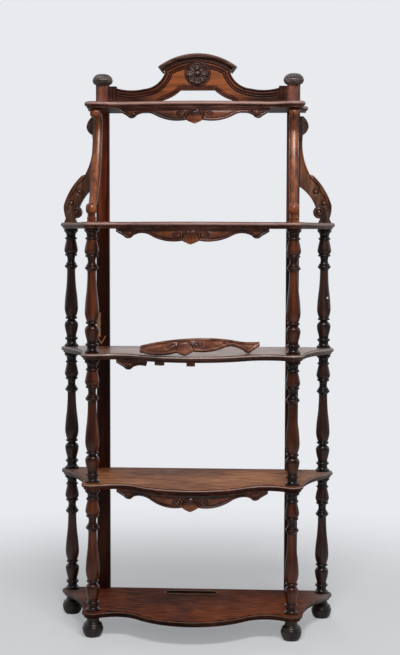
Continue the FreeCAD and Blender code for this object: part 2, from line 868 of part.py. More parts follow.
def panel_corners():
    """Right-hand sunk panel, a border's width inside the crest's edges and clear of the rosette."""
    under = CREST_UNDER - s.panel_border + s.crest_cap_bead / 2
    inner_rise = CREST_CENTRE + root(under * under - s.panel_reach * s.panel_reach)
    neck_rise = CREST_CENTRE + root(under * under - s.panel_neck_reach * s.panel_neck_reach)
    across = s.panel_neck_reach - s.panel_reach
    chord = root(across * across + (inner_rise - neck_rise) * (inner_rise - neck_rise))
    crown_bulge = under - root(under * under - chord * chord / 4)
    outer = CREST_END - s.crest_block - s.panel_border
    return [
        (s.panel_foot_reach, s.panel_border, 0), (outer, s.panel_border, 0),
        (outer, s.crest_block_rise - s.crest_step - s.panel_border, -s.crest_sweep_sag),
        (s.panel_sweep_reach, s.panel_sweep_rise, -s.panel_neck_sag),
        (s.panel_neck_reach, s.panel_neck_rise, 0), (s.panel_neck_reach, neck_rise, crown_bulge),
        (s.panel_reach, inner_rise, 0), (s.panel_reach, s.arch_rise + s.panel_border, 0),
        (s.arch_flat, s.arch_rise + s.panel_border, s.arch_sag),
        (s.panel_shoulder_reach, s.panel_shoulder_rise, -s.arch_sag),
    ]


def make_crest_board():
    """The crest: a sawn board with an arched foot and a sunk panel each side of the rosette."""
    body = new_body("crest_board")
    outline = new_sketch(body, "XZ_Plane")
    draw(outline, crest_corners())
    half = pad(body, outline, s.crest_thick)
    panel = new_sketch(body, "XZ_Plane", s.crest_thick)
    draw(panel, panel_corners())
    sunk = pocket(body, panel, s.panel_sink)
    mirror(body, [half, sunk])
    seats = new_sketch(body, "XY_Plane")
    for side in SIDES.values():
        circle(seats, s.crest_dowel_reach * side, -s.crest_thick / 2, s.dowel_radius + s.fit_gap)
    pocket(body, seats, s.dowel_length / 2 + s.socket_spare, reverse=True)
    put(body, z=SHELF_TOP[4])
    return body


def make_crest_cap():
    """The arched cap moulding: a bead over a cove, carried round the cap's circle."""
    body = new_body("crest_cap")
    section = new_sketch(body, "YZ_Plane")
    front = -(s.crest_thick + s.crest_cap_proud)
    back = s.crest_cap_radius
    under = CREST_UNDER
    bead = s.crest_cap_radius - s.crest_cap_bead
    draw(section, [
        (0, under, 0), (0, back, 0), (front, back, 0), (front, bead, -s.crest_cap_cove),
        (-s.crest_thick, under, 0),
    ])
    feature = body.newObject("PartDesign::Revolution", "sweep")
    feature.Profile = section
    feature.ReferenceAxis = (section, ["H_Axis"])
    feature.Midplane = True
    half_angle = f"asin({(s.crest_cap_reach / s.crest_cap_radius).text})"
    feature.setExpression("Angle", f"2 * {half_angle}")
    put(body, z=SHELF_TOP[4] + CREST_CENTRE)
    return body


def make_rosette():
    """Petals round a domed button."""
    body = new_body("rosette")
    button = new_sketch(body, "YZ_Plane")
    face = -s.crest_thick
    draw(button, [
        (face, 0, 0), (face, s.rosette_button, 0),
        (face - s.rosette_thick, s.rosette_button, s.rosette_button_rise / 3),
        (face - s.rosette_thick - s.rosette_button_rise, s.rosette_button_flat, 0),
        (face - s.rosette_thick - s.rosette_button_rise, 0, 0),
    ])
    dome = body.newObject("PartDesign::Revolution", "button")
    dome.Profile = button
    dome.ReferenceAxis = (button, ["H_Axis"])
    petal = new_sketch(body, "XZ_Plane", s.crest_thick)
    draw(petal, [
        (0, s.petal_root, s.petal_width / 2), (0, s.rosette_radius, s.petal_width / 2),
    ])
    leaf = pad(body, petal, s.rosette_thick)
    ring = body.newObject("PartDesign::PolarPattern", "petals")
    ring.Originals = [leaf]
    ring.Axis = (petal, ["N_Axis"])
    ring.Angle = 360
    tie(ring, "Occurrences", s.petals)
    body.Tip = ring
    put(body, z=SHELF_TOP[4] + s.rosette_rise)
    return body


# Front bracket: a long arc leans back from the foot roll and hooks forward under the top shelf
BRACKET_FOOT = (-s.bracket_foot_depth, s.bracket_foot_rise)
BRACKET_HEAD = (-s.bracket_head_depth, s.bracket_head_rise)
TOP_CLEAR = s.top_rise - s.shelf_thick


def bracket_arcs():
    """Centre and radius of the bar's arc, and of the hook that continues it up to the shelf."""
    across = BRACKET_HEAD[0] - BRACKET_FOOT[0]
    along = BRACKET_HEAD[1] - BRACKET_FOOT[1]
    chord = root(across * across + along * along)
    radius = chord * chord / (s.bracket_sag * 8) + s.bracket_sag / 2
    middle = ((BRACKET_HEAD[0] + BRACKET_FOOT[0]) / 2, (BRACKET_HEAD[1] + BRACKET_FOOT[1]) / 2)
    away = radius - s.bracket_sag
    centre = (middle[0] - along / chord * away, middle[1] + across / chord * away)
    aim = ((centre[0] - BRACKET_HEAD[0]) / radius, (centre[1] - BRACKET_HEAD[1]) / radius)
    hook = (TOP_CLEAR - BRACKET_HEAD[1] - s.bracket_bar / 2) / (aim[1] + 1)
    hook_centre = (BRACKET_HEAD[0] + aim[0] * hook, BRACKET_HEAD[1] + aim[1] * hook)
    return centre, radius, hook_centre, hook


BAR_CENTRE, BAR_RADIUS, HOOK_CENTRE, HOOK_RADIUS = bracket_arcs()
BRACKET_PIN_Y = HOOK_CENTRE[0]


def band(sketch, centre, radius, width, start, end):
    """A curved bar: two arcs about one centre, from start to end counter-clockwise."""
    half = width / 2
    ends = []
    for edge in (radius + half, radius - half):
        for place in (start, end):
            along = ((place[0] - centre[0]) / radius, (place[1] - centre[1]) / radius)
            ends.append((centre[0] + along[0] * edge, centre[1] + along[1] * edge))
    middle = point(*centre)
    corners = [point(*place) for place in ends]
    sketch.addGeometry([
        arc(middle, corners[0], corners[1]),
        Part.LineSegment(corners[1], corners[3]),
        arc(middle, corners[2], corners[3]),
        Part.LineSegment(corners[2], corners[0]),
    ], False)
    link(sketch, "Coincident", 0, 2, 1, 1)
    link(sketch, "Coincident", 1, 2, 2, 2)
    link(sketch, "Coincident", 2, 1, 3, 1)
    link(sketch, "Coincident", 3, 2, 0, 1)
    link(sketch, "Coincident", 0, 3, 2, 3)
    locate(sketch, 0, 1, *ends[0])
    locate(sketch, 0, 3, *centre)
    fix(sketch, "DistanceX", -1, 1, 0, 2, ends[1][0])
    locate(sketch, 2, 1, *ends[2])
    fix(sketch, "DistanceX", -1, 1, 2, 2, ends[3][0])


def add_roll(body, depth, rise, radius):
    """A scroll roll about a level axis, bellied between its flat ends."""
    profile = new_sketch(body, "XY_Plane", rise)
    tie(profile, "AttachmentOffset.Base.y", depth)
    half = s.bracket_roll_width / 2
    end = radius - s.bracket_belly
    draw(profile, [(-half, 0, 0), (half, 0, 0), (half, end, s.bracket_belly), (-half, end, 0)])
    feature = body.newObject("PartDesign::Revolution", "roll")
    feature.Profile = profile
    feature.ReferenceAxis = (profile, ["H_Axis"])


def make_front_bracket(label, side):
    """A scroll bracket: collar and spigot below, roll, leaning bar, hook and upper roll."""
    body = new_body(label)
    bar = new_sketch(body, "YZ_Plane")
    band(bar, BAR_CENTRE, BAR_RADIUS, s.bracket_bar, BRACKET_FOOT, BRACKET_HEAD)
    pad(body, bar, s.bracket_width, both=True)
    hook = new_sketch(body, "YZ_Plane")
    lead = s.bracket_top_lead / 2
    crown = (HOOK_CENTRE[0] - lead, HOOK_CENTRE[1] + root(HOOK_RADIUS * HOOK_RADIUS - lead * lead))
    band(hook, HOOK_CENTRE, HOOK_RADIUS, s.bracket_bar, BRACKET_HEAD, crown)
    pad(body, hook, s.bracket_width, both=True)
    add_roll(body, -(s.column_depth + s.bracket_roll_lead), s.bracket_roll_rise, s.bracket_roll)
    add_roll(body, HOOK_CENTRE[0] - s.bracket_top_lead, TOP_CLEAR - s.bracket_top_roll, s.bracket_top_roll)
    collar = new_sketch(body, "XY_Plane")
    circle(collar, size_of(0), -s.column_depth, s.bracket_collar)
    pad(body, collar, s.bracket_collar_rise)
    spigot = new_sketch(body, "XY_Plane")
    circle(spigot, size_of(0), -s.column_depth, s.spigot_radius)
    pad(body, spigot, SPIGOT_LENGTH, reverse=True)
    seat = new_sketch(body, "XY_Plane", TOP_CLEAR)
    circle(seat, size_of(0), BRACKET_PIN_Y, s.dowel_radius + s.fit_gap)
    pocket(body, seat, s.dowel_length / 2 + s.socket_spare)
    put(body, s.column_reach * side, 0, SHELF_TOP[3])
    return body


def side_bracket_corners():
    """Right-hand side bracket, with x from the upright's outer face."""
    foot = s.rear_reach - s.column_reach - s.upright_width / 2
    outer = foot + s.side_foot
    roll = foot - s.side_roll_reach
    return [
        (0, s.side_top_rise, 0), (0, s.side_under_rise, -s.side_under_sag),
        (roll - s.side_roll_lead, s.side_roll_rise + s.side_roll_crown, 0),
        (foot, s.side_roll_rise + s.side_roll_shoulder, 0),
        (foot - s.side_foot, 0, 0), (outer, 0, 0),
        (outer, s.side_cheek_rise, s.side_bulge),
        (s.side_leaf_reach + s.side_notch, s.side_leaf_rise, 0),
        (s.side_leaf_reach, s.side_leaf_rise + s.side_notch, -s.side_hollow),
        (s.side_head, s.side_neck_rise, s.side_ear_under),
        (s.side_ear_reach, s.side_ear_rise, s.side_ear_swell),
        (s.side_head, s.side_top_rise, 0),
    ]


def make_side_bracket(label, side):
    """A sawn S-scroll between the upright and the outer lobe of the second shelf, with a raised eye."""
    body = new_body(label)
    foot = s.rear_reach - s.column_reach - s.upright_width / 2
    outline = new_sketch(body, "XZ_Plane")
    draw(outline, [(x * side, z, bulge * side) for x, z, bulge in
                   ((size_of(x), z, size_of(bulge)) for x, z, bulge in side_bracket_corners())])
    pad(body, outline, s.side_thick, both=True)
    roll = new_sketch(body, "XZ_Plane")
    circle(roll, (foot - s.side_roll_reach) * side, s.side_roll_rise, s.side_roll)
    pad(body, roll, s.side_thick, both=True)
    eye = new_sketch(body, "XZ_Plane", s.side_thick / 2 + s.side_eye_proud)
    circle(eye, (foot - s.side_roll_reach) * side, s.side_roll_rise, s.side_eye)
    pad(body, eye, s.side_thick / 2, reverse=True)
    spigot = new_sketch(body, "XY_Plane")
    circle(spigot, foot * side, size_of(0), s.spigot_radius)
    pad(body, spigot, SPIGOT_LENGTH, reverse=True)
    put(body, CREST_END * side + s.upright_width * side, -s.rear_depth, SHELF_TOP[3])
    return body


def apron_corners():
    """Right half of an apron from the middle: shell, lobe, cove, drop and end."""
    return [
        (0, 0, 0), (0, -s.shell_fall, s.shell_swell),
        (s.lobe_inner, -s.lobe_inner_fall, s.lobe_swell),
        (s.cove_inner, -s.cove_inner_fall, -s.cove_sag),
        (s.drop_inner, -s.drop_inner_fall, s.drop_swell),
        (s.drop_outer, -s.drop_outer_fall, 0),
        (s.apron_reach, -s.apron_end, 0), (s.apron_reach, 0, 0),
    ]


def ribbon(sketch, plan, near, far):
    """Right half of a curved strip that follows the shelf's front, set back from near to far."""
    dip_x, dip_y = dip_centre(plan)
    dip_c = point(dip_x, dip_y)
    bow_c = Vector(0, bow_radius(plan).value - plan["bow"].value, 0)
    apexes = []
    joins = []
    ends = []
    for inset in (near, far):
        radius = bow_radius(plan).value - inset.value
        dip = s.dip_radius.value + inset.value
        apexes.append(Vector(0, bow_c.y - radius, 0))
        joins.append(between(bow_c, radius, dip_c))
        lead = s.apron_reach.value - dip_c.x
        ends.append(Vector(s.apron_reach.value, dip_c.y + math.sqrt(dip ** 2 - lead ** 2), 0))
    sketch.addGeometry([
        arc(bow_c, apexes[0], joins[0]), arc(dip_c, ends[0], joins[0]),
        Part.LineSegment(ends[0], ends[1]),
        arc(dip_c, ends[1], joins[1]), arc(bow_c, apexes[1], joins[1]),
        Part.LineSegment(apexes[1], apexes[0]),
    ], False)
    link(sketch, "Tangent", 0, 2, 1, 2)
    link(sketch, "Coincident", 1, 1, 2, 1)
    link(sketch, "Coincident", 2, 2, 3, 1)
    link(sketch, "Tangent", 3, 2, 4, 2)
    link(sketch, "Coincident", 4, 1, 5, 1)
    link(sketch, "Coincident", 5, 2, 0, 1)
    link(sketch, "PointOnObject", 0, 3, -2)
    link(sketch, "PointOnObject", 0, 1, -2)
    link(sketch, "PointOnObject", 4, 1, -2)
    link(sketch, "Coincident", 0, 3, 4, 3)
    link(sketch, "Coincident", 1, 3, 3, 3)
    locate(sketch, 1, 3, dip_x, dip_y)
    fix(sketch, "Radius", 1, s.dip_radius + near)
    fix(sketch, "DistanceY", -1, 1, 0, 1, near - plan["bow"])
    fix(sketch, "DistanceY", -1, 1, 4, 1, far - plan["bow"])
    fix(sketch, "DistanceX", -1, 1, 1, 1, s.apron_reach)
    fix(sketch, "DistanceX", -1, 1, 3, 1, s.apron_reach)


def carve_apron(body, plan):
    """An apron: a strip that follows the shelf, cut to its outline, with volutes and a shell in front."""
    strip = new_sketch(body, "XY_Plane")
    ribbon(strip, plan, s.apron_setback, s.apron_setback + s.apron_thick)
    board = pad(body, strip, s.shell_fall, reverse=True)
    lower = new_sketch(body, "XZ_Plane")
    corners = apron_corners()[1:-1]
    edge = s.apron_reach + s.apron_end
    floor = -(s.shell_fall + s.apron_end)
    draw(lower, [(0, floor, 0), (edge, floor, 0), (edge, -s.apron_end, 0)]
         + [(x, z, -size_of(before[2])) for (x, z, _), before in
            zip(corners[::-1], corners[-2::-1] + [(0, 0, 0)])])
    trim = pocket(body, lower, reverse=True)
    mirror(body, [board, trim])
    face = plan["bow"] - s.apron_setback
    for radius, proud in ((s.volute_radius, s.volute_proud),
                          (s.volute_button, s.volute_proud + s.volute_button_proud)):
        volutes = new_sketch(body, "XZ_Plane", face + proud)
        for side in SIDES.values():
            circle(volutes, s.volute_reach * side, -s.volute_fall, radius)
        pad(body, volutes, proud + s.apron_thick / 2, reverse=True)
    shell = body.newObject("PartDesign::AdditiveEllipsoid", "shell")
    shell.AttachmentSupport = [(plane(body, "XY_Plane"), "")]
    shell.MapMode = "FlatFace"
    tie(shell, "AttachmentOffset.Base.y", s.shell_root - face)
    tie(shell, "AttachmentOffset.Base.z", -s.shell_middle)
    tie(shell, "Radius1", s.shell_half)
    tie(shell, "Radius2", s.shell_reach)
    tie(shell, "Radius3", s.shell_proud + s.shell_root)


def make_apron(name, plan, level):
    body = new_body(f"apron_{name}")
    carve_apron(body, plan)
    put(body, z=level)
    return body


def break_cut(body, keep):
    """Cut an apron along the slanted break and keep the stub (-1) or the fragment (1)."""
    cutter = new_sketch(body, "XZ_Plane")
    half = s.break_width / 2 * keep
    far = s.apron_reach * 2 * -keep
    top = s.apron_end
    low = -(s.shell_fall + s.apron_end)
    upper = half - s.break_reach + s.break_slant
    under = half - s.break_reach - s.break_slant
    corners = [(upper, top, 0), (under, low, 0), (far, low, 0), (far, top, 0)]
    draw(cutter, corners)
    pocket(body, cutter, reverse=True)


def make_stub(level):
    body = new_body("apron_stub")
    carve_apron(body, LOWER_PLAN)
    break_cut(body, -1)
    put(body, z=level)
    return body


def make_fragment(level):
    """The broken-off apron, leaning back and turned on the shelf, its lowest point just clear of it."""
    body = new_body("apron_fragment")
    carve_apron(body, LOWER_PLAN)
    break_cut(body, 1)
    doc.recompute()
    turned = (Rotation(Vector(0, 0, 1), s.loose_turn.value)
              * Rotation(Vector(0, 1, 0), -s.loose_roll.value)
              * Rotation(Vector(1, 0, 0), -s.loose_lean.value))
    lying = body.Shape.copy()
    lying.Placement = FreeCAD.Placement(Vector(0, 0, 0), turned)
    box = lying.optimalBoundingBox(False)
    front = REAR.value + s.loose_back.value - s.bow_depth.value
    seat = level.value + s.loose_gap.value
    place = Vector(-s.loose_shift.value, front - box.YMin, seat - box.ZMin)
    body.Placement = FreeCAD.Placement(place, turned)
    return body


def make_blocks(name, plan, level, places):
    """Glue blocks behind an apron, each square to the curve that it stands on."""
    back = s.apron_setback + s.apron_thick
    curve = bow_radius(plan) - back
    depth = curve - plan["bow"] + back
    blocks = []
    for place in places:
        block = doc.addObject("Part::Box", "block")
        tie(block, "Length", s.block_length)
        tie(block, "Width", s.block_depth)
        tie(block, "Height", s.block_rise)
        angle = math.degrees(math.asin(s.block_reach.value * place / curve.value))
        sag = s.block_length.value ** 2 / (8 * curve.value) + s.fit_gap.value
        turned = Rotation(Vector(0, 0, 1), angle)
        corner = turned.multVec(Vector(-s.block_length.value / 2, sag - curve.value, 0))
        block.Placement = FreeCAD.Placement(
            corner + Vector(0, REAR.value + depth.value, level.value - s.block_rise.value), turned)
        blocks.append(block)
    group = doc.addObject("Part::Compound", f"glue_blocks_{name}")
    group.Label = f"glue_blocks_{name}"
    group.Links = blocks
    return group


# Build every piece
pieces = []
for name, plan, under in zip(SHELF_NAMES, PLANS, SHELF_UNDER):
    shelf = make_shelf(name, plan, under)
    if name == "bottom":
        add_slot(shelf)
    pieces.append(shelf)
for side_name, side in SIDES.items():
    for stage, stage_name in enumerate(["lower", "middle", "upper"]):
        pieces.append(make_column(f"column_front_{side_name}_{stage_name}",
                                  s.column_reach * side, -s.column_depth, SHELF_TOP[stage]))
        pieces.append(make_column(f"column_rear_{side_name}_{stage_name}",
                                  s.rear_reach * side, -s.rear_depth, SHELF_TOP[stage]))
    pieces.append(make_foot(f"foot_front_{side_name}", s.column_reach * side, -s.column_depth))
    pieces.append(make_foot(f"foot_rear_{side_name}", s.rear_reach * side, -s.rear_depth))
    pieces.append(make_upright(f"upright_{side_name}", side))
    pieces.append(make_finial(f"finial_{side_name}", side))
    pieces.append(make_front_bracket(f"bracket_front_{side_name}", side))
    pieces.append(make_side_bracket(f"bracket_side_{side_name}", side))
pieces.append(make_screws())
pieces.append(make_crest_board())
pieces.append(make_crest_cap())
pieces.append(make_rosette())
pieces.append(pins("crest_dowels", [(s.crest_dowel_reach * side, -s.crest_thick / 2,
                                     SHELF_TOP[4] - s.dowel_length / 2) for side in SIDES.values()]))
pieces.append(pins("bracket_dowels", [(s.column_reach * side, BRACKET_PIN_Y,
                                       SHELF_UNDER[4] - s.dowel_length / 2) for side in SIDES.values()]))
for name, plan, under, places in (("top", TOP_PLAN, SHELF_UNDER[4], (-1, 0, 1)),
                                  ("second", LOWER_PLAN, SHELF_UNDER[3], (-1, 0, 1)),
                                  ("third", LOWER_PLAN, SHELF_UNDER[2], (-1, 0)),
                                  ("fourth", LOWER_PLAN, SHELF_UNDER[1], (-1, 0, 1))):
    if name != "third":
        pieces.append(make_apron(name, plan, under))
    pieces.append(make_blocks(name, plan, under, places))
pieces.append(make_stub(SHELF_UNDER[2]))
pieces.append(make_fragment(SHELF_TOP[2]))

doc.recompute()
for thing in doc.Objects:
    if "Invalid" in thing.State or "Error" in thing.State:
        raise RuntimeError(f"{thing.Label} failed: {thing.State}")
os.makedirs("parts", exist_ok=True)
for piece in pieces:
    if piece.Shape.isNull() or not piece.Shape.isValid():
        raise RuntimeError(f"{piece.Label} has no valid shape")
    piece.Shape.exportStep(f"parts/{piece.Label}.step")
    box = piece.Shape.optimalBoundingBox(False)
    print(f"{piece.Label}: {len(piece.Shape.Solids)} solid(s), volume {piece.Shape.Volume:.0f}, "
          f"z {box.ZMin:.1f} to {box.ZMax:.1f}")
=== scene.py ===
"""Étagère in dark French-polished rosewood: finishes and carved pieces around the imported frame.

Metres, +Z up, front towards -Y. Carved pieces are worked out in millimetres, with y = 0 on the line of
the shelves' rear edges as a joiner would measure them, and brought into the frame by one function.
"""
import json
import math

import bmesh
import bpy
import numpy as np
from bpy.props import FloatProperty, FloatVectorProperty, IntProperty, PointerProperty, StringProperty
from mathutils import Matrix, Vector


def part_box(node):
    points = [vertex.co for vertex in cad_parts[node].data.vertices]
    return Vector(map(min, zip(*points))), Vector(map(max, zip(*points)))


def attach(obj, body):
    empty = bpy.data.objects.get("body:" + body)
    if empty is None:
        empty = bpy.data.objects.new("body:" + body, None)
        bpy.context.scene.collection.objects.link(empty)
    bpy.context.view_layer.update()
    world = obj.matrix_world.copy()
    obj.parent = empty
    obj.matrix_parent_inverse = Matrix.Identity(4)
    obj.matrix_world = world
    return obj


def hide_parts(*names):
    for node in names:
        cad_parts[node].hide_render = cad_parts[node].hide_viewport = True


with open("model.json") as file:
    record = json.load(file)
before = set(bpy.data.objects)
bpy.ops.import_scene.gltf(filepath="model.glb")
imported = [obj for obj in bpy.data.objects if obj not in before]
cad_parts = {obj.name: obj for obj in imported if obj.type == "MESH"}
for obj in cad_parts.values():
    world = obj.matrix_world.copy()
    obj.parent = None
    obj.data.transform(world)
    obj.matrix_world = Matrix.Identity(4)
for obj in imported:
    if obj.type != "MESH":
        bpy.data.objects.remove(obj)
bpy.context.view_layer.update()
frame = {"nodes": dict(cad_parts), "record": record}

bl_info = {
    "name": "Étagère finish",
    "version": (1, 0, 0),
    "blender": (4, 5, 0),
    "location": "3D View > Sidebar > Étagère",
    "description": "Carves and finishes a five-shelf étagère in dark polished rosewood",
    "category": "Object",
}

NODES = frame["nodes"]
BODY = {node: body for body, nodes in frame["record"]["behaviour"]["bodies"].items() for node in nodes}
MM = 0.001
POLE = 0.01
SHARP_DEGREES = 38.0
MERGE = 2e-5


def box_mm(node):
    """A node's box in millimetres: its low corner, then its high corner."""
    return np.array(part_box(node), float) / MM


def on_axis(node, level):
    """The point at a level on the upright line through the middle of a node's box, in millimetres."""
    low, high = np.array(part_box(node), float)
    return np.array([*(low + high)[:2] / 2 / MM, level])


# Levels and places, taken from the frame
REAR = box_mm("shelf_bottom")[1, 1]
UPPER_SHELVES = ("fourth", "third", "second", "top")
SHELF_UNDER = {name: box_mm(f"shelf_{name}")[0, 2] for name in UPPER_SHELVES}
SHELF_TOP = {name: box_mm(f"shelf_{name}")[1, 2] for name in UPPER_SHELVES}
COLUMN_REACH, COLUMN_DEPTH = on_axis("column_front_right_upper", 0.0)[:2] - np.array([0, REAR])
UPRIGHT_FACE = box_mm("upright_right")[1, 0]


def linear(code):
    """An sRGB hex colour as linear red, green, blue and alpha."""
    parts = np.array([int(code[place:place + 2], 16) for place in (1, 3, 5)]) / 255
    light = np.where(parts <= 0.04045, parts / 12.92, ((parts + 0.055) / 1.055) ** 2.4)
    return (*light.tolist(), 1.0)


def scale(size):
    """Scale of a pattern whose marks are that many millimetres across."""
    return 1 / (size * MM)


def add(tree, kind, out=0, settings=None, stops=(), **sockets):
    """Add a node, set its properties and stops, set or link its inputs, and hand back one of its outputs.

    An input goes by its name, with _ for a space, or by its number, as in i6. Stops are a colour ramp's
    places with their hex colours.
    """
    node = tree.nodes.new("ShaderNode" + kind)
    for name, value in (settings or {}).items():
        setattr(node, name, value)
    if stops:
        band = node.color_ramp.elements
        for _ in stops[2:]:
            band.new(1.0)
        for element, (place, code) in zip(band, stops):
            element.position = place
            element.color = linear(code)
    for name, value in sockets.items():
        socket = node.inputs[int(name[1:]) if name[1:].isdigit() else name.replace("_", " ")]
        if isinstance(value, bpy.types.NodeSocket):
            tree.links.new(value, socket)
        else:
            socket.default_value = value
    return node.outputs[out] if node.outputs else None


# Nodes that recur: kind, the output that is used, settings
MIX = ("Mix", 2, {"data_type": "RGBA"})
TINT = ("Mix", 2, {"data_type": "RGBA", "blend_type": "MULTIPLY"})
SUM = ("Math", 0, {"operation": "ADD"})
PRODUCT = ("Math", 0, {"operation": "MULTIPLY"})
PRODUCT_AND_SUM = ("Math", 0, {"operation": "MULTIPLY_ADD"})
WITHOUT_SIGN = ("Math", 0, {"operation": "ABSOLUTE"})
ABOVE = ("Math", 0, {"operation": "GREATER_THAN"})
BELOW = ("Math", 0, {"operation": "LESS_THAN"})
LARGER = ("Math", 0, {"operation": "MAXIMUM"})


class EtagereLooks(bpy.types.PropertyGroup):
    """Sizes, colours and light that a user would change."""

    dark: StringProperty(name="Dark figure", description="sRGB hex of the wood's dark figure",
                         default="#1a0b08")
    ground: StringProperty(name="Ground", description="sRGB hex of the wood's ground", default="#3c1b11")
    light: StringProperty(name="Light figure", description="sRGB hex of the light figure",
                          default="#5c3122")
    # Ridge and faded colours also paint a highlight along the middle of the front brackets' reed.
    ridge: StringProperty(name="Rubbed ridges", description="sRGB hex of ridges rubbed pale",
                          default="#74402a")
    warm: StringProperty(name="Faded wood", description="sRGB hex where the polish has thinned",
                         default="#a05a30")
    # This dark colour also paints shade into the cap's cove, and darkens the cap's returns and the side
    # brackets' ears all over.
    grime_and_shade: StringProperty(name="Grime", description="sRGB hex of wax and dirt in the hollows",
                          default="#0e0706")
    relief: FloatProperty(name="Carving depth", description="Depth of the carved grounds", default=0.003,
                          unit="LENGTH", subtype="DISTANCE")
    mesh_step: FloatProperty(name="Carving step", description="Spacing of the carved surfaces' points",
                             default=0.0008, unit="LENGTH", subtype="DISTANCE")
    petals: IntProperty(name="Petals", description="Petals round the rosette", default=8)
    lens: FloatProperty(name="Lens", description="Focal length of the camera", default=72.87,
                        subtype="DISTANCE_CAMERA")
    place: FloatVectorProperty(name="Camera", description="Where the camera stands",
                               default=(0.21474, -3.6218, 1.08903), subtype="TRANSLATION", unit="LENGTH")
    key_power: FloatProperty(name="Main light", description="Power of the main soft light", default=32.0,
                             subtype="POWER", unit="POWER")


def looks():
    """The values set in the sidebar."""
    return bpy.context.scene.etagere_looks


# Surfaces as arrays

def ease(low, high, value):
    """Smooth step: 0 at low, 1 at high, with level ends."""
    part = np.clip((value - low) / (high - low), 0, 1)
    return part * part * (3 - 2 * part)


def bead(distance, rise, middle, width):
    """A half-round bead: its rise where the distance is the middle's, 0 half its width to either side."""
    return rise * np.sqrt(np.clip(1 - (2 * (distance - middle) / width) ** 2, 0, 1))


def quirk(distance, depth, middle, width):
    """A narrow rounded groove: its depth where the distance is the middle's, dying away over its width."""
    return depth * np.exp(-((distance - middle) / width) ** 2)


def fillet(distance, rise, start, inner, outer, end):
    """A flat strip: it comes up between the start and the inner distance, and goes down before the end."""
    return rise * ease(start, inner, distance) * ease(end, outer, distance)


def scroll(x, z, size, pitch):
    """Ridge of a scroll about 0, 0: it starts at the bottom and winds inwards clockwise, pitch to a turn."""
    radius = np.hypot(x, z)
    swing = ((-np.pi / 2 - np.arctan2(z, x)) / (2 * np.pi)) % 1
    ridge = 0.5 + 0.5 * np.cos(2 * np.pi * ((radius - size) / pitch + swing))
    return ridge * ease(size + pitch * 0.5, size + pitch * 0.2, radius + pitch * swing)


def dome(x, z, rise, size):
    """A round boss: its rise in the middle, falling as a sphere does to 0 at its size."""
    return rise * np.sqrt(np.clip(1 - (x * x + z * z) / size ** 2, 0, 1))


def around(count):
    """Angles of a full turn, in one row, without the one that closes it."""
    return np.linspace(0, 2 * np.pi, count, endpoint=False)[None, :]


def arc_points(start, end, bulge, count=25):
    """Points of the arc from start to end that rises by bulge to the right of the way drawn."""
    start = np.array(start, float)
    end = np.array(end, float)
    part = np.linspace(0, 1, count)[:, None]
    if bulge == 0:
        return start + (end - start) * part
    run = end - start
    length = np.hypot(*run)
    side = np.array([run[1], -run[0]]) / length
    radius = length ** 2 / (8 * abs(bulge)) + abs(bulge) / 2
    centre = (start + end) / 2 + side * (bulge - math.copysign(radius, bulge))
    angle_0 = math.atan2(*(start - centre)[::-1])
    angle_1 = math.atan2(*(end - centre)[::-1])
    swing = (angle_1 - angle_0 + math.pi) % (2 * math.pi) - math.pi
    angle = angle_0 + swing * part
    return centre + radius * np.hstack([np.cos(angle), np.sin(angle)])


def outline(corners):
    """A polyline through (x, z, bulge) corners, each bulge belonging to the stretch that follows."""
    spans = zip(corners[:-1], corners[1:])
    return np.vstack([arc_points(here[:2], there[:2], here[2]) for here, there in spans])


def edge_distance(x, z, line):
    """Least distance from each point to a polyline's segments."""
    least = np.full(x.shape, np.inf)
    for (x_0, z_0), (x_1, z_1) in zip(line[:-1], line[1:]):
        run_x = x_1 - x_0
        run_z = z_1 - z_0
        length = run_x ** 2 + run_z ** 2
        if length < 1e-9:
            continue
        part = np.clip(((x - x_0) * run_x + (z - z_0) * run_z) / length, 0, 1)
        least = np.minimum(least, np.hypot(x - x_0 - part * run_x, z - z_0 - part * run_z))
    return least


def hollowness(height, reach=4):
    """How far each point lies below (positive) or above its neighbourhood: the field's mean less itself."""
    mean = height
    for _ in range(reach):
        padded = np.pad(mean, 1, mode="edge")
        mean = (padded[:-2, 1:-1] + padded[2:, 1:-1] + padded[1:-1, :-2] + padded[1:-1, 2:]) / 4
    return mean - height


def grid_faces(index):
    """Quads of a grid of point numbers."""
    corners = [index[:-1, :-1], index[1:, :-1], index[1:, 1:], index[:-1, 1:]]
    return np.stack(corners, -1).reshape(-1, 4).tolist()


def board(front, depth):
    """A closed board: a carved grid in front, a plain strip at a depth behind, joined along its sides."""
    across, along = front.shape[:2]
    back = front[:, [0, -1]].copy()
    back[:, :, 1] = depth
    face = np.arange(across * along).reshape(across, along)
    rear = face.size + np.arange(across * 2).reshape(across, 2)
    faces = grid_faces(face) + grid_faces(rear)
    for side in (0, -1):
        faces += grid_faces(np.stack([face[:, side], rear[:, side]]).T)
    faces += [[*face[end].tolist(), int(rear[end, 1]), int(rear[end, 0])] for end in (0, -1)]
    return np.vstack([front.reshape(-1, 3), back.reshape(-1, 3)]), faces


def lathe(radius, height, turns):
    """A closed turning: columns of radius and height, one for all turns or one for each, carried round."""
    rows = len(radius)
    angle = around(turns)
    ring = np.arange(rows * turns).reshape(rows, turns)
    points = np.stack([radius * np.cos(angle), radius * np.sin(angle), height + 0 * angle], -1)
    return points.reshape(-1, 3), grid_faces(np.hstack([ring, ring[:, :1]]))


def tube(points):
    """A closed bar: rings of points (stations, round, 3), capped at both ends."""
    ring = np.arange(points.shape[0] * points.shape[1]).reshape(points.shape[:2])
    faces = grid_faces(np.hstack([ring, ring[:, :1]]))
    faces += [ring[0].tolist(), ring[-1].tolist()]
    return points.reshape(-1, 3), faces


def into_frame(points):
    """Millimetres from the shelves' rear line to metres in the frame."""
    return (points + np.array([0, REAR, 0])) * MM


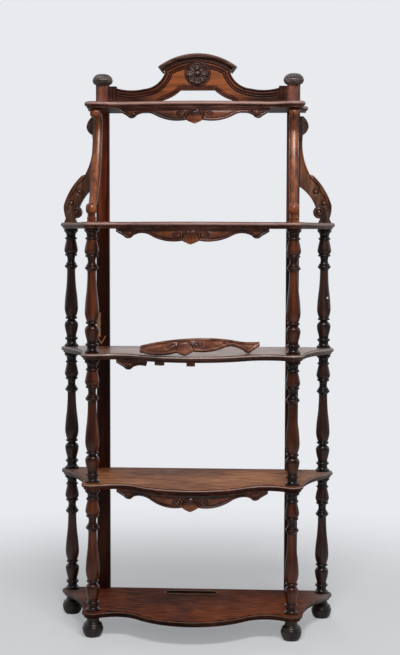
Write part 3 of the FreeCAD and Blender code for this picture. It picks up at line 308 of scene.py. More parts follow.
def make_piece(node, work, shells, material):
    """Join shells of (points, faces, hollow, warm) into one closed mesh that takes a node's place.

    Points are metres in the frame. Hollow and warm are kept as attributes for the finish. The piece is named
    for the node and the work on it, and rides on the node's body.
    """
    points = []
    faces = []
    fields = {"hollow": [], "warm": []}
    for shell_points, shell_faces, *marks in shells:
        start = sum(len(block) for block in points)
        points.append(shell_points)
        faces += [[number + start for number in face] for face in shell_faces]
        for key, values in zip(fields, marks):
            filled = np.zeros(len(shell_points))
            filled[:np.size(values)] = np.ravel(values)
            fields[key].append(filled)
    mesh = bpy.data.meshes.new(f"{node}_{work}")
    mesh.from_pydata(np.vstack(points).tolist(), [], faces)
    for key, blocks in fields.items():
        layer = mesh.attributes.new(key, "FLOAT", "POINT")
        layer.data.foreach_set("value", np.concatenate(blocks).astype(np.float32))
    work_mesh = bmesh.new()
    work_mesh.from_mesh(mesh)
    bmesh.ops.remove_doubles(work_mesh, verts=work_mesh.verts, dist=MERGE)
    bmesh.ops.recalc_face_normals(work_mesh, faces=work_mesh.faces)
    work_mesh.to_mesh(mesh)
    work_mesh.free()
    mesh.shade_smooth()
    mesh.set_sharp_from_angle(angle=math.radians(SHARP_DEGREES))
    mesh.materials.append(material)
    piece = bpy.data.objects.new(f"{node}_{work}", mesh)
    bpy.context.scene.collection.objects.link(piece)
    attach(piece, BODY[node])
    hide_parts(node)


# Finishes: places and marks on the frame in metres, sizes of patterns and of the nosing in millimetres

WAVER = 140
WAVER_SWING = 0.014
CLOUD = 160
CLOUD_SHARE = 0.5
PATINA = 60
PORE_SHARE = 9.0
FIGURE_STOPS = (0.55, 0.75, 0.95)
TOP_STOPS = (0.57, 0.75, 0.94)
GRIME_AND_SHADE_FULL = 0.93
RIDGE_FULL = 0.5
WAX_ROUGHNESS = 0.2
SHELF_FIGURE = (52, 6)
NOSING = 12.0
EDGE_HIGHLIGHT_FULL = 0.75
DUST = "#8f847e"
DUST_PATCH = 35
DUST_FULL = 1.2
WING_SPAN = (0.28, 0.37)
RIM_FOOT = 0.0715
RIM_HIGHLIGHT = "#94867c"
SHADE = "#1a0d0a"
SHADE_FULL = 0.82
SHADE_SPAN = (1.02, 1.2)
POST_SPAN = (1.452, 1.472)
POST_DUST = "#978680"
POST_FULL = 0.35
BARE_MARK = "#b98d68"
MARK_DEPTH = 0.148
CHIP_EDGE = -0.2738
CHIP_SOFT = 0.0008
CHIP_RAGGED = 0.006
CHIP_GRIT = 12
CHIP_SPAN = (0.802, 0.871)
SCRATCH_MIDDLE = -0.274
SCRATCH_SPAN = (0.782, 0.804)
SCRATCH_SLOPE = 0.55
SCRATCH_HALF = 0.0008
FLECK = (0.369, 0.1165, 0.917)
FLECK_RADIUS = 0.0035
FLECK_COLOUR = "#e9dfd6"


def start_material(name):
    """An empty node material and its tree."""
    material = bpy.data.materials.new(name)
    material.use_nodes = True
    material.node_tree.nodes.clear()
    return material, material.node_tree


def polished_wood(name, colours, along="X", rough=(0.32, 0.42), level=0.16, figure_mm=(160, 16), top=None,
                  weather=None, wax=0.0, edge=None):
    """Figured wood under worn French polish: soft streaks along the grain, dark wax in the hollows.

    The eye gets long dark and light streaks, a soft gloss that varies where the polish is thin, black
    wax in the carving and paler rubbed ridges. The same dark colour paints shade into the cap's cove, and
    the ridge and faded colours paint a highlight along the front brackets' reed. Pores are drawn coarser
    than real ones, to show. A shelf also gives its top's colours, partly painted light, and its painted
    edge highlight.
    """
    hue = looks()
    faded = linear(hue.warm)
    material, tree = start_material(name)
    coords = add(tree, "TexCoord", "Object")
    stretch = [scale(figure_mm[0] if axis == along else figure_mm[1]) for axis in "XYZ"]
    waver = add(tree, "TexNoise", "Color", Vector=coords, Scale=scale(WAVER), Detail=1.0)
    bent = add(tree, "VectorMath", 0, {"operation": "MULTIPLY_ADD"}, i0=waver, i1=(WAVER_SWING,) * 3,
               i2=coords)
    grain = add(tree, "Mapping", Vector=bent, Scale=stretch)
    streaks = add(tree, "TexNoise", Vector=grain, Scale=1.0, Detail=4.0, Roughness=0.55)
    cloud = add(tree, "TexNoise", Vector=coords, Scale=scale(CLOUD), Detail=2.0)
    figure = add(tree, *PRODUCT_AND_SUM, i0=cloud, i1=CLOUD_SHARE, i2=streaks)
    tone = add(tree, "ValToRGB", stops=list(zip(FIGURE_STOPS, colours)), Fac=figure)
    patina = add(tree, "TexNoise", Vector=coords, Scale=scale(PATINA), Detail=3.0)
    gloss = add(tree, "MapRange", Value=patina, i1=0.3, i2=0.7, i3=rough[0], i4=rough[1])
    colour = top_figure_and_edge_highlight(tree, tone, coords, figure, top, edge) if top else tone
    colour = weather(tree, colour, coords) if weather else colour
    thin = add(tree, *TINT, i0=0.6, i6=faded, i7=tone)
    streak = add(tree, "MapRange", Value=streaks, i1=0.35, i2=0.65)
    thin = add(tree, *MIX, i0=streak, i6=thin, i7=faded)
    warm = add(tree, "Attribute", "Fac", {"attribute_name": "warm"})
    colour = add(tree, *MIX, i0=warm, i6=colour, i7=thin)
    hollow = add(tree, "Attribute", "Fac", {"attribute_name": "hollow"})
    deep = add(tree, "MapRange", Value=hollow, i1=0.02, i2=0.32, i4=GRIME_AND_SHADE_FULL)
    colour = add(tree, *MIX, i0=deep, i6=colour, i7=linear(hue.grime_and_shade))
    high = add(tree, "MapRange", Value=hollow, i1=-0.05, i2=-0.45, i4=RIDGE_FULL)
    colour = add(tree, *MIX, i0=high, i6=colour, i7=linear(hue.ridge))
    pores = add(tree, "TexNoise", Vector=grain, Scale=PORE_SHARE, Detail=2.0)
    bump = add(tree, "Bump", Strength=0.04, Distance=0.4 * MM, Height=pores)
    shader = add(tree, "BsdfPrincipled", Base_Color=colour, Roughness=gloss, Normal=bump,
                 Specular_IOR_Level=level, Coat_Weight=wax, Coat_Roughness=WAX_ROUGHNESS)
    add(tree, "OutputMaterial", Surface=shader)
    return material


def top_figure_and_edge_highlight(tree, colour, coords, figure, top, edge):
    """Shelves: a lighter, streakier figure on the flat top and a painted highlight on the roll of the edge.

    The top's colours are the wood's figure, lightened in part as painted light on the up-facing faces.
    The edge gives the highlight's colour, how far up a face looks (as its normal's rise) where the
    highlight starts and where it is full, and the level below which there is none.
    """
    highlight_colour, start, full, foot = edge
    facing = add(tree, "SeparateXYZ", "Z", Vector=add(tree, "NewGeometry", "Normal"))
    # Up-facing faces take the top's colours: the wood's figure, partly lightened as painted light.
    flat = add(tree, "MapRange", Value=facing, i1=0.75, i2=0.95)
    figured = add(tree, "ValToRGB", stops=list(zip(TOP_STOPS, top)), Fac=figure)
    colour = add(tree, *MIX, i0=flat, i6=colour, i7=figured)
    # Painted highlight: the edge's roll is painted pale where light glints on it.
    worn = add(tree, "MapRange", Value=facing, i1=start, i2=full, i4=EDGE_HIGHLIGHT_FULL)
    rolled = add(tree, "MapRange", Value=facing, i1=0.65, i2=0.5)
    height = add(tree, "SeparateXYZ", "Z", Vector=coords)
    nosing = add(tree, "MapRange", Value=height, i1=foot, i2=foot + MM)
    for limit in (rolled, nosing):
        worn = add(tree, *PRODUCT, i0=worn, i1=limit)
    return add(tree, *MIX, i0=worn, i6=colour, i7=linear(highlight_colour))


def dusty_wings(tree, colour, coords):
    """Shelves: grey dust that has settled towards the outer lobes, in uneven patches."""
    across = add(tree, *WITHOUT_SIGN, i0=add(tree, "SeparateXYZ", "X", Vector=coords))
    wing = add(tree, "MapRange", Value=across, i1=WING_SPAN[0], i2=WING_SPAN[1], i4=DUST_FULL)
    patch = add(tree, "TexNoise", Vector=coords, Scale=scale(DUST_PATCH), Detail=3.0)
    amount = add(tree, *PRODUCT, i0=wing, i1=patch)
    return add(tree, *MIX, i0=amount, i6=colour, i7=linear(DUST))


def dust_and_rim_highlight(tree, colour, coords):
    """Bottom shelf: dusty wings, and the raised rim round the slot painted pale as a painted highlight."""
    colour = dusty_wings(tree, colour, coords)
    height = add(tree, "SeparateXYZ", "Z", Vector=coords)
    # Painted highlight: the rim's raised top is painted pale where light catches it.
    rim = add(tree, "MapRange", Value=height, i1=RIM_FOOT, i2=RIM_FOOT + MM)
    return add(tree, *MIX, i0=rim, i6=colour, i7=linear(RIM_HIGHLIGHT))


def painted_shade_and_marks(tree, colour, coords):
    """Uprights: painted shade, nearly black behind the columns and fading out above the second shelf; chipped
    by the left column.

    A forked scratch stands above the third shelf: two lines that part as they rise. The posts are dusty.
    """
    place = add(tree, "SeparateXYZ", Vector=coords).node.outputs
    # Painted shade: the uprights are darkened below the second shelf, for the shade behind the columns.
    shade = add(tree, "MapRange", Value=place["Z"], i1=SHADE_SPAN[0], i2=SHADE_SPAN[1], i3=SHADE_FULL,
                i4=0.0)
    colour = add(tree, *MIX, i0=shade, i6=colour, i7=linear(SHADE))
    ragged = add(tree, "TexNoise", Vector=coords, Scale=scale(CHIP_GRIT), Detail=2.0)
    settled = add(tree, "MapRange", Value=place["Z"], i1=POST_SPAN[0], i2=POST_SPAN[1], i4=POST_FULL)
    dust = add(tree, *PRODUCT, i0=settled, i1=ragged)
    colour = add(tree, *MIX, i0=dust, i6=colour, i7=linear(POST_DUST))
    reach = add(tree, *PRODUCT_AND_SUM, i0=ragged, i1=CHIP_RAGGED, i2=place["X"])
    chip = add(tree, "MapRange", Value=reach, i1=CHIP_EDGE + CHIP_SOFT, i2=CHIP_EDGE)
    apart = add(tree, *WITHOUT_SIGN, i0=add(tree, *SUM, i0=place["X"], i1=-SCRATCH_MIDDLE))
    fork = add(tree, *PRODUCT_AND_SUM, i0=place["Z"], i1=-SCRATCH_SLOPE, i2=SCRATCH_SLOPE * SCRATCH_SPAN[0])
    away = add(tree, *WITHOUT_SIGN, i0=add(tree, *SUM, i0=apart, i1=fork))
    scratch = add(tree, "MapRange", Value=away, i1=SCRATCH_HALF * 2, i2=SCRATCH_HALF)
    ahead = add(tree, *BELOW, i0=place["Y"], i1=MARK_DEPTH)
    for mark, (foot, head) in ((chip, CHIP_SPAN), (scratch, SCRATCH_SPAN)):
        over = add(tree, *ABOVE, i0=place["Z"], i1=foot)
        under = add(tree, *BELOW, i0=place["Z"], i1=head)
        for limit in (over, under, ahead):
            mark = add(tree, *PRODUCT, i0=mark, i1=limit)
        colour = add(tree, *MIX, i0=mark, i6=colour, i7=linear(BARE_MARK))
    return colour


def flecked(tree, colour, coords):
    """Rear columns: one pale fleck where the polish is knocked off the right-hand shaft."""
    apart = add(tree, "VectorMath", "Value", {"operation": "DISTANCE"}, i0=coords, i1=FLECK)
    fleck = add(tree, "MapRange", Value=apart, i1=FLECK_RADIUS, i2=FLECK_RADIUS * 0.7)
    return add(tree, *MIX, i0=fleck, i6=colour, i7=linear(FLECK_COLOUR))


def bare_wood():
    """Unfinished softwood blocks and dowels: dull, tan, darkened by age."""
    material, tree = start_material("Bare glued softwood")
    coords = add(tree, "TexCoord", "Object")
    grain = add(tree, "Mapping", Vector=coords, Scale=(scale(40), scale(3), scale(3)))
    figure = add(tree, "TexNoise", Vector=grain, Scale=1.0, Detail=5.0)
    tone = add(tree, "ValToRGB", stops=[(0.3, "#3c2416"), (0.7, "#7a5236")], Fac=figure)
    bump = add(tree, "Bump", Strength=0.3, Distance=0.5 * MM, Height=figure)
    shader = add(tree, "BsdfPrincipled", Base_Color=tone, Roughness=0.8, Normal=bump)
    add(tree, "OutputMaterial", Surface=shader)
    return material


def screw_steel():
    """Old steel screw heads: grey metal dulled by brown rust."""
    material, tree = start_material("Dulled steel screw")
    rust = add(tree, "TexNoise", Vector=add(tree, "TexCoord", "Object"), Scale=scale(3), Detail=4.0)
    tone = add(tree, "ValToRGB", stops=[(0.4, "#6d6a66"), (0.65, "#5a3a26")], Fac=rust)
    shader = add(tree, "BsdfPrincipled", Base_Color=tone, Metallic=0.8, Roughness=0.5)
    add(tree, "OutputMaterial", Surface=shader)
    return material


class ETAGERE_OT_finish(bpy.types.Operator):
    """Give each plain node its finish"""

    bl_idname = "etagere.finish"
    bl_label = "Finish the plain pieces"

    def execute(self, context):
        hue = looks()
        plain = (hue.dark, hue.ground, hue.light)
        # Top and second shelf: the eye meets the edge, so its whole round nosing carries a painted highlight
        bright = {
            name: {"name": f"French polished rosewood, bright edge {name}",
                   "colours": ("#2c150f", "#4c2a20", "#6a453a"), "top": ("#4c2613", "#834a27", "#ac7043"),
                   "rough": (0.4, 0.48), "level": 0.2,
                   "edge": ("#b9978e", -0.45, 0.1, (SHELF_TOP[name] - NOSING) * MM)}
            for name in ("second", "top")}
        shelves = {
            **bright,
            # Third shelf: the top is painted pale and greyish, a painted reflection of the sheen along it
            # over a waxed gloss; a painted highlight on the edge's roll
            "third": {"name": "French polished rosewood, painted sheen", "colours": plain,
                      "top": ("#50301f", "#885a42", "#ab7d65"), "rough": (0.38, 0.46), "level": 0.3,
                      "wax": 0.3, "edge": ("#cfb8af", 0.02, 0.2, 0.0)},
            # Fourth shelf: dull orange-brown figure, with a painted highlight on the edge's roll
            "fourth": {"name": "French polished rosewood shelf", "colours": plain,
                       "top": ("#512915", "#945730", "#be8250"), "rough": (0.5, 0.58), "level": 0.1,
                       "edge": ("#bfa297", 0.05, 0.25, 0.0)},
            # Bottom shelf: darker, redder and nearly matt, with a painted highlight on the edge's roll and on
            # the slot's rim
            "bottom": {"name": "French polished rosewood bottom",
                       "colours": ("#140806", "#301610", "#4b2a1f"), "top": ("#2e110a", "#662f17", "#8e4c2a"),
                       "rough": (0.62, 0.72), "level": 0.06, "edge": ("#7d6257", 0.12, 0.3, 0.0),
                       "weather": dust_and_rim_highlight},
        }
        finishes = {"upright_screws": screw_steel()}
        for shelf, look in shelves.items():
            settings = {"weather": dusty_wings, "figure_mm": SHELF_FIGURE, **look}
            finishes[f"shelf_{shelf}"] = polished_wood(**settings)
        # Uprights: red-brown with long upright streaks, with painted shade low down
        upright = polished_wood("Polished rosewood upright", ("#331309", "#6a2f1c", "#8e4b32"), along="Z",
                                figure_mm=(260, 14), level=0.1, weather=painted_shade_and_marks)
        finishes.update(upright_left=upright, upright_right=upright)
        bare = bare_wood()
        for name, node in NODES.items():
            node.data.materials.clear()
            node.data.materials.append(finishes.get(name, bare))
        return {"FINISHED"}


# Aprons: plan of the shelf's front, the half outline below it, and the carving
# A bead or groove is given as its rise or depth, its middle and its width, an eye as its rise and size

LOWER_FRONT = {"bow": 332.0, "bow_radius": 209.7, "dip_x": 204.0, "dip_y": -328.0, "dip_radius": 80.0}
TOP_FRONT = {"bow": 184.0, "bow_radius": 921.4, "dip_x": 204.0, "dip_y": -243.0, "dip_radius": 80.0}
APRON_REACH = 205.0
APRON_DEEP = 43.0
APRON_FACE = 9.0
APRON_BACK = 24.0
APRON_EDGE = [(0, -APRON_DEEP, 0.8), (22, -33, 8.0), (110, -18, -6.0), (159, -20, 6.5), (184, -21, 0),
              (APRON_REACH, -9, 0)]
BAND_RISE = 2.8
BAND_SPAN = (6.0, 4.8)
RIM = (3.2, 3.1, 6.2)
PANEL_INSET = 7.2
PANEL_GROUND = 1.0
PANEL_CUSHION = 1.3
CUSHION_SPAN = (0.6, 4.5)
PANEL_GROOVES = ((1.4, 0.0, 1.2), (0.6, 4.2, 0.8))
PANEL_FADED = 0.3
VOLUTE = (32.0, -18.0)
VOLUTE_RADIUS = 11.0
VOLUTE_CLEAR = 4.0
VOLUTE_SPAN = (13.8, 12.6)
VOLUTE_PITCH = 6.2
VOLUTE_GROUND = 0.4
VOLUTE_RISE = 3.6
VOLUTE_EYE = (3.6, 4.2)
VOLUTE_EYE_FOOT = 1.0
VOLUTE_FADED = 0.35
DROP = (169.0, 19.0)
DROP_RADIUS = 8.0
DROP_GROUND = 0.8
DROP_RING = (2.6, 5.8, 4.4)
DROP_EYE = (3.2, 3.0)
SHELL_HALF = 13.0
SHELL_FLARE = 9.0
FLARE_SPAN = (8.0, 31.0)
SHELL_SPAN = (3.0, 13.0)
SHELL_SWELL = {"fluted": 4.4, "keeled": 2.4, "plain": 5.4}
SHELL_FADED = {"fluted": 0.75, "keeled": 0.5, "plain": 0.3}
SHELL_GROOVE = (1.8, 0.8, 1.3)
KEEL = 3.6
FLUTE = 7.5
FLUTE_DEEP = 1.5
FAN_RADIUS = 40.0
APRON_GRIME = 0.6
BREAK_REACH = 121.0
BREAK_SLANT = 7.0
BREAK_HALF = 1.5
BREAK_TOP = 9.0
BREAK_RUN = 61.0
BREAK_FADE = 24
LOOSE_TURN = 6.0
LOOSE_ROLL = 4.0
LOOSE_LEAN = 20.0


def shelf_front(x, inset, plan):
    """Depth of the shelf's front, set back by inset: the bow's circle, then the dip's beyond their touch."""
    reach = np.abs(x)
    bow = plan["bow_radius"] - inset
    dip = plan["dip_radius"] + inset
    centre = plan["bow_radius"] - plan["bow"]
    join = bow * plan["dip_x"] / np.hypot(plan["dip_x"], plan["dip_y"] - centre)
    on_bow = centre - np.sqrt(np.maximum(bow ** 2 - reach ** 2, 0))
    on_dip = plan["dip_y"] + np.sqrt(np.maximum(dip ** 2 - (reach - plan["dip_x"]) ** 2, 0))
    return np.where(reach < join, on_bow, on_dip)


def apron_edge(x, shell="plain"):
    """Height of the lower edge: the half outline read at each reach, scalloped under a fluted shell."""
    line = outline(APRON_EDGE)
    edge = np.interp(np.abs(x), line[:, 0], line[:, 1])
    if shell == "fluted":
        edge = edge + FLUTE_DEEP * (1 - np.abs(np.cos(x * np.pi / FLUTE))) * ease(20.0, 15.0, np.abs(x))
    return edge


def apron_relief(x, z, shell):
    """Carving: a top band, a bead along the edge, cushioned panels, volutes, end eyes and the middle shell.

    Each form is a height over its own distance, such as that from the edge or from the volute's eye.
    Returns the height and how far the polish has faded.
    """
    reach = np.abs(x)
    fall = -z
    edge = edge_distance(reach, z, outline(APRON_EDGE[1:]))
    volute_x = reach - VOLUTE[0]
    volute_z = z - VOLUTE[1]
    radius = np.hypot(volute_x, volute_z)
    band = BAND_RISE * ease(*BAND_SPAN, fall)
    rim = bead(edge, *RIM)
    panel = np.minimum(np.minimum(fall, edge) - PANEL_INSET, radius - VOLUTE_RADIUS - VOLUTE_CLEAR)
    height = PANEL_GROUND + PANEL_CUSHION * ease(*CUSHION_SPAN, panel)
    for groove in PANEL_GROOVES:
        height = height - quirk(panel, *groove)
    height = np.maximum(np.maximum(height, band), rim)
    curl = VOLUTE_GROUND + VOLUTE_RISE * scroll(volute_x, volute_z, VOLUTE_RADIUS, VOLUTE_PITCH)
    curl = np.maximum(curl, VOLUTE_EYE_FOOT + dome(volute_x, volute_z, *VOLUTE_EYE))
    inside = ease(*VOLUTE_SPAN, radius)
    height = height * (1 - inside) + np.maximum(curl, rim * ease(9.0, 13.0, radius)) * inside
    eye_x = reach - DROP[0]
    eye_z = fall - DROP[1]
    drop = np.hypot(eye_x, eye_z)
    eye = np.maximum(DROP_GROUND + bead(drop, *DROP_RING), dome(eye_x, eye_z, *DROP_EYE))
    height = np.where(drop < DROP_RADIUS, eye, height)
    half = SHELL_HALF + SHELL_FLARE * ease(*FLARE_SPAN, fall)
    across = np.clip(reach / half, 0, 1)
    bud = SHELL_SWELL[shell] * np.sqrt(1 - across ** 2)
    if shell == "keeled":
        bud = bud + KEEL * (1 - across)
    if shell == "fluted":
        fan = np.arctan2(x, np.maximum(fall, 1.0))
        bud = bud + FLUTE_DEEP * np.abs(np.cos(fan * np.pi * FAN_RADIUS / FLUTE)) * ease(1.0, 0.8, across)
    bud = bud * ease(*SHELL_SPAN, fall)
    height = height - quirk(reach - half, *SHELL_GROOVE) * ease(6.0, 9.0, fall)
    middle = reach < half
    height = np.where(middle, np.maximum(bud, band), height)
    beside = PANEL_FADED * ease(0.4, 3.0, panel) + VOLUTE_FADED * inside * ease(1.2, 3.0, curl)
    warm = np.where(middle, SHELL_FADED[shell] * ease(14, 34, fall), beside)
    return height, warm


def apron_shell(plan, shell, left=-APRON_REACH, right=APRON_REACH, torn=None):
    """A carved apron: x along it, z down from the shelf to the edge; the front stands off by the relief.

    A torn end slants as the break does and is splintered by two sines, which die away from it.
    """
    step = looks().mesh_step / MM
    along = np.linspace(0, 1, int((right - left) / step))[:, None]
    down = np.linspace(0, 1, int(APRON_DEEP / step))[None, :]
    x = left + (right - left) * along + 0 * down
    z = apron_edge(x, shell) * down
    if torn:
        slant = BREAK_SLANT * (1 - 2 * (BREAK_TOP - z) / BREAK_RUN)
        splinter = 0.9 * np.sin(z * 1.9) + 0.6 * np.sin(z * 4.3 + 1.0)
        near = along if torn == "left" else 1 - along
        x = x + (slant + splinter) * (1 - near) ** BREAK_FADE
    height, warm = apron_relief(x, z, shell)
    sink = looks().relief / MM
    front = np.stack([x, shelf_front(x, APRON_FACE + sink - height, plan), z], -1)
    points, faces = board(front, shelf_front(x[:, [0, -1]], APRON_BACK, plan))
    return points, faces, APRON_GRIME * hollowness(height), warm


def lay_fragment(points):
    """Turn the fragment as it lies, and set its plain outline's right, front and low sides on its node's."""
    turned = np.array(Matrix.Rotation(math.radians(LOOSE_TURN), 3, "Z")
                      @ Matrix.Rotation(math.radians(-LOOSE_ROLL), 3, "Y")
                      @ Matrix.Rotation(math.radians(-LOOSE_LEAN), 3, "X"))
    x = np.linspace(-BREAK_REACH + BREAK_HALF, APRON_REACH, 400)
    plain = np.vstack([np.stack([x, shelf_front(x, inset, LOWER_FRONT), level], -1)
                       for inset in (APRON_FACE, APRON_BACK) for level in (0 * x, apron_edge(x))]) @ turned.T
    low, high = box_mm("apron_fragment")
    right = high[0] - plain[:, 0].max()
    shift = np.array([right, *(low - plain.min(axis=0))[1:]])
    return (points @ turned.T + shift) * MM


class ETAGERE_OT_aprons(bpy.types.Operator):
    """Carve the three whole aprons, the stub and the loose fragment"""

    bl_idname = "etagere.aprons"
    bl_label = "Carve the aprons"

    def execute(self, context):
        # Aprons in place: dark red-brown, with a waxed shine along the beads
        carved = polished_wood("Carved polished rosewood", ("#180906", "#3b190f", "#633320"),
                               figure_mm=(110, 14), rough=(0.3, 0.38), level=0.3, wax=0.5)
        # The fragment: rubbed, so paler and glossier than those in place
        worn = polished_wood("Carved rosewood, faded and rubbed", ("#3a1c13", "#76422e", "#a5735c"),
                             figure_mm=(110, 12), rough=(0.22, 0.3), level=0.5, wax=0.4)
        stub_end = {"right": -BREAK_REACH - BREAK_HALF, "torn": "right"}
        for name, shelf, plan, shell, ends in (("top", "top", TOP_FRONT, "keeled", {}),
                                               ("second", "second", LOWER_FRONT, "fluted", {}),
                                               ("fourth", "fourth", LOWER_FRONT, "keeled", {}),
                                               ("stub", "third", LOWER_FRONT, "plain", stub_end)):
            points, *rest = apron_shell(plan, shell, **ends)
            points = into_frame(points + np.array([0, 0, SHELF_UNDER[shelf]]))
            make_piece(f"apron_{name}", "carved", [(points, *rest)], carved)
        points, *rest = apron_shell(LOWER_FRONT, "plain", left=-BREAK_REACH + BREAK_HALF, torn="left")
        make_piece("apron_fragment", "carved", [(lay_fragment(points), *rest)], worn)
        return {"FINISHED"}


# Crest: x from the middle, z from the top shelf

CREST_FOOT = SHELF_TOP["top"]
CREST_REACH = 251.5
CREST_TALL = 96.0
CREST_THICK = 18.0
BLOCK_REACH = 229.0
BLOCK_RISE = 57.0
SWEEP_HEAD = 93.0
CREST_EDGE = [(CREST_REACH, BLOCK_RISE, 0), (BLOCK_REACH, BLOCK_RISE, 0), (BLOCK_REACH, 52, -5),
              (150, 50, -10), (SWEEP_HEAD, 92, 0)]
ARCH_EDGE = [(0, 46, 0), (48, 46, 3), (95, 19, -3), (112, 0, 0), (CREST_REACH, 0, 0)]
RAIL_SHARES = (0.37, 0.54, 0.09)
CREST_GROUND = 0.5
SWEEP_BEADS = ((2.8, 2.6, 5.4), (2.3, 17.2, 5.2))
SWEEP_FLAT = (2.0, 5.4, 6.8, 12.6, 14.4)
SWEEP_GROOVES = ((1.3, 5.9, 1.3), (1.3, 13.9, 1.3), (1.3, 20.6, 1.3))
ARCH_BEAD = (2.6, 2.4, 4.8)
ARCH_FLAT = (1.5, 5.2, 6.4, 9.0, 10.4)
ARCH_GROOVES = ((1.3, 5.2, 1.3), (1.3, 10.8, 1.3))
BLOCK_GROUND = 3.4
BLOCK_GROOVES = ((1.6, 2.5, 1.2), (1.2, 11.0, 1.2))
ROUND_REACH = 36.0
ROUND_GROUND = 0.6
ROUND_GROOVE = (0.8, 0.0, 1.2)
FADED_FLAT = (0.3, 6.4, 8.0, 12.0, 13.6)
FADED_PANEL = 0.85
FADED_SPAN = (190, 60)
CAP_CENTRE = -38.0
CAP_UNDER = 168.0
CAP_TOP = 184.95
CAP_FRONT = -CREST_THICK - 8.0
CAP_STEPS = 13
CAP_STEP_ANGLE = 0.007
CAP_HALF_ANGLE = math.asin(111.0 / 185.0)
RETURN_ANGLE = 0.035
RETURN_INSET = 0.002
ROSETTE_LEVEL = 91.5
ROSETTE_RADIUS = 31.5
ROSETTE_TURNS = 384
ROSETTE_ROWS = 48
ROSETTE_BACK = 2.5
# Petals and button, over the share of the radius
PETAL_NOTCH = 0.13
PETAL_RISE = 4.6
PETAL_RIM = (1.6, 0.9, 0.2)
PETAL_CLEFT = (2.6, 1.0, 0.22)
PETAL_HOLLOW = (1.9, 1.0)
HOLLOW_MIDDLE = 0.62
HOLLOW_LONG = 0.27
HOLLOW_WIDE = 0.42
BUTTON = (7.6, 0.29)
BUTTON_RING = (1.0, 0.31, 0.07)


def crest_rails(count):
    """Stations along the right half: the reach, the arch below and the sweep or cap line above."""
    sweep = outline(CREST_EDGE)[::-1]
    arch = outline(ARCH_EDGE)
    inner, outer, block = (int(count * share) for share in RAIL_SHARES)
    reach = np.concatenate([np.linspace(0, SWEEP_HEAD, inner, endpoint=False),
                            np.linspace(SWEEP_HEAD, BLOCK_REACH, outer),
                            np.linspace(BLOCK_REACH, CREST_REACH, block)])
    under_cap = CAP_CENTRE + np.sqrt(CAP_UNDER ** 2 - np.minimum(reach, SWEEP_HEAD) ** 2)
    upper = np.where(reach < SWEEP_HEAD, under_cap, np.interp(reach, sweep[:, 0], sweep[:, 1]))
    upper[-block:] = BLOCK_RISE
    lower = np.interp(reach, arch[:, 0], arch[:, 1])
    return reach, lower, upper


def crest_relief(x, z):
    """Three mouldings follow the sweep and the cap, two follow the arch, round sunk panels and the rosette.

    Each is a bead or a flat over the distance from its line, with grooves between. Returns the height and
    how far the polish has faded.
    """
    reach = np.abs(x)
    cap_angle = np.linspace(0, math.asin(SWEEP_HEAD / CAP_UNDER), 25)
    cap = np.stack([CAP_UNDER * np.sin(cap_angle), CAP_CENTRE + CAP_UNDER * np.cos(cap_angle)], -1)
    upper = np.minimum(edge_distance(reach, z, outline(CREST_EDGE[2:])), edge_distance(reach, z, cap))
    lower = edge_distance(reach, z, outline(ARCH_EDGE))
    height = np.maximum(fillet(upper, *SWEEP_FLAT), fillet(lower, *ARCH_FLAT))
    for line, form in ((upper, SWEEP_BEADS[0]), (upper, SWEEP_BEADS[1]), (lower, ARCH_BEAD)):
        height = np.maximum(height, bead(line, *form))
    height = np.maximum(height, CREST_GROUND)
    for line, grooves in ((upper, SWEEP_GROOVES), (lower, ARCH_GROOVES)):
        for groove in grooves:
            height = height - quirk(line, *groove)
    block = BLOCK_GROUND - sum(quirk(reach - BLOCK_REACH, *groove) for groove in BLOCK_GROOVES)
    height = np.where(reach > BLOCK_REACH, block, height)
    beside = np.hypot(reach, z - ROSETTE_LEVEL) - ROUND_REACH
    height = np.where(beside < 0, ROUND_GROUND, height)
    height = height - quirk(beside, *ROUND_GROOVE)
    panel = FADED_PANEL * ease(20.6, 22.6, upper) * ease(10.8, 12.4, lower) * ease(0.5, 2.5, beside)
    band = fillet(upper, *FADED_FLAT) * ease(0, 2, beside)
    warm = np.where(reach > BLOCK_REACH, 0.0, (panel + band) * ease(*FADED_SPAN, reach))
    return height, warm


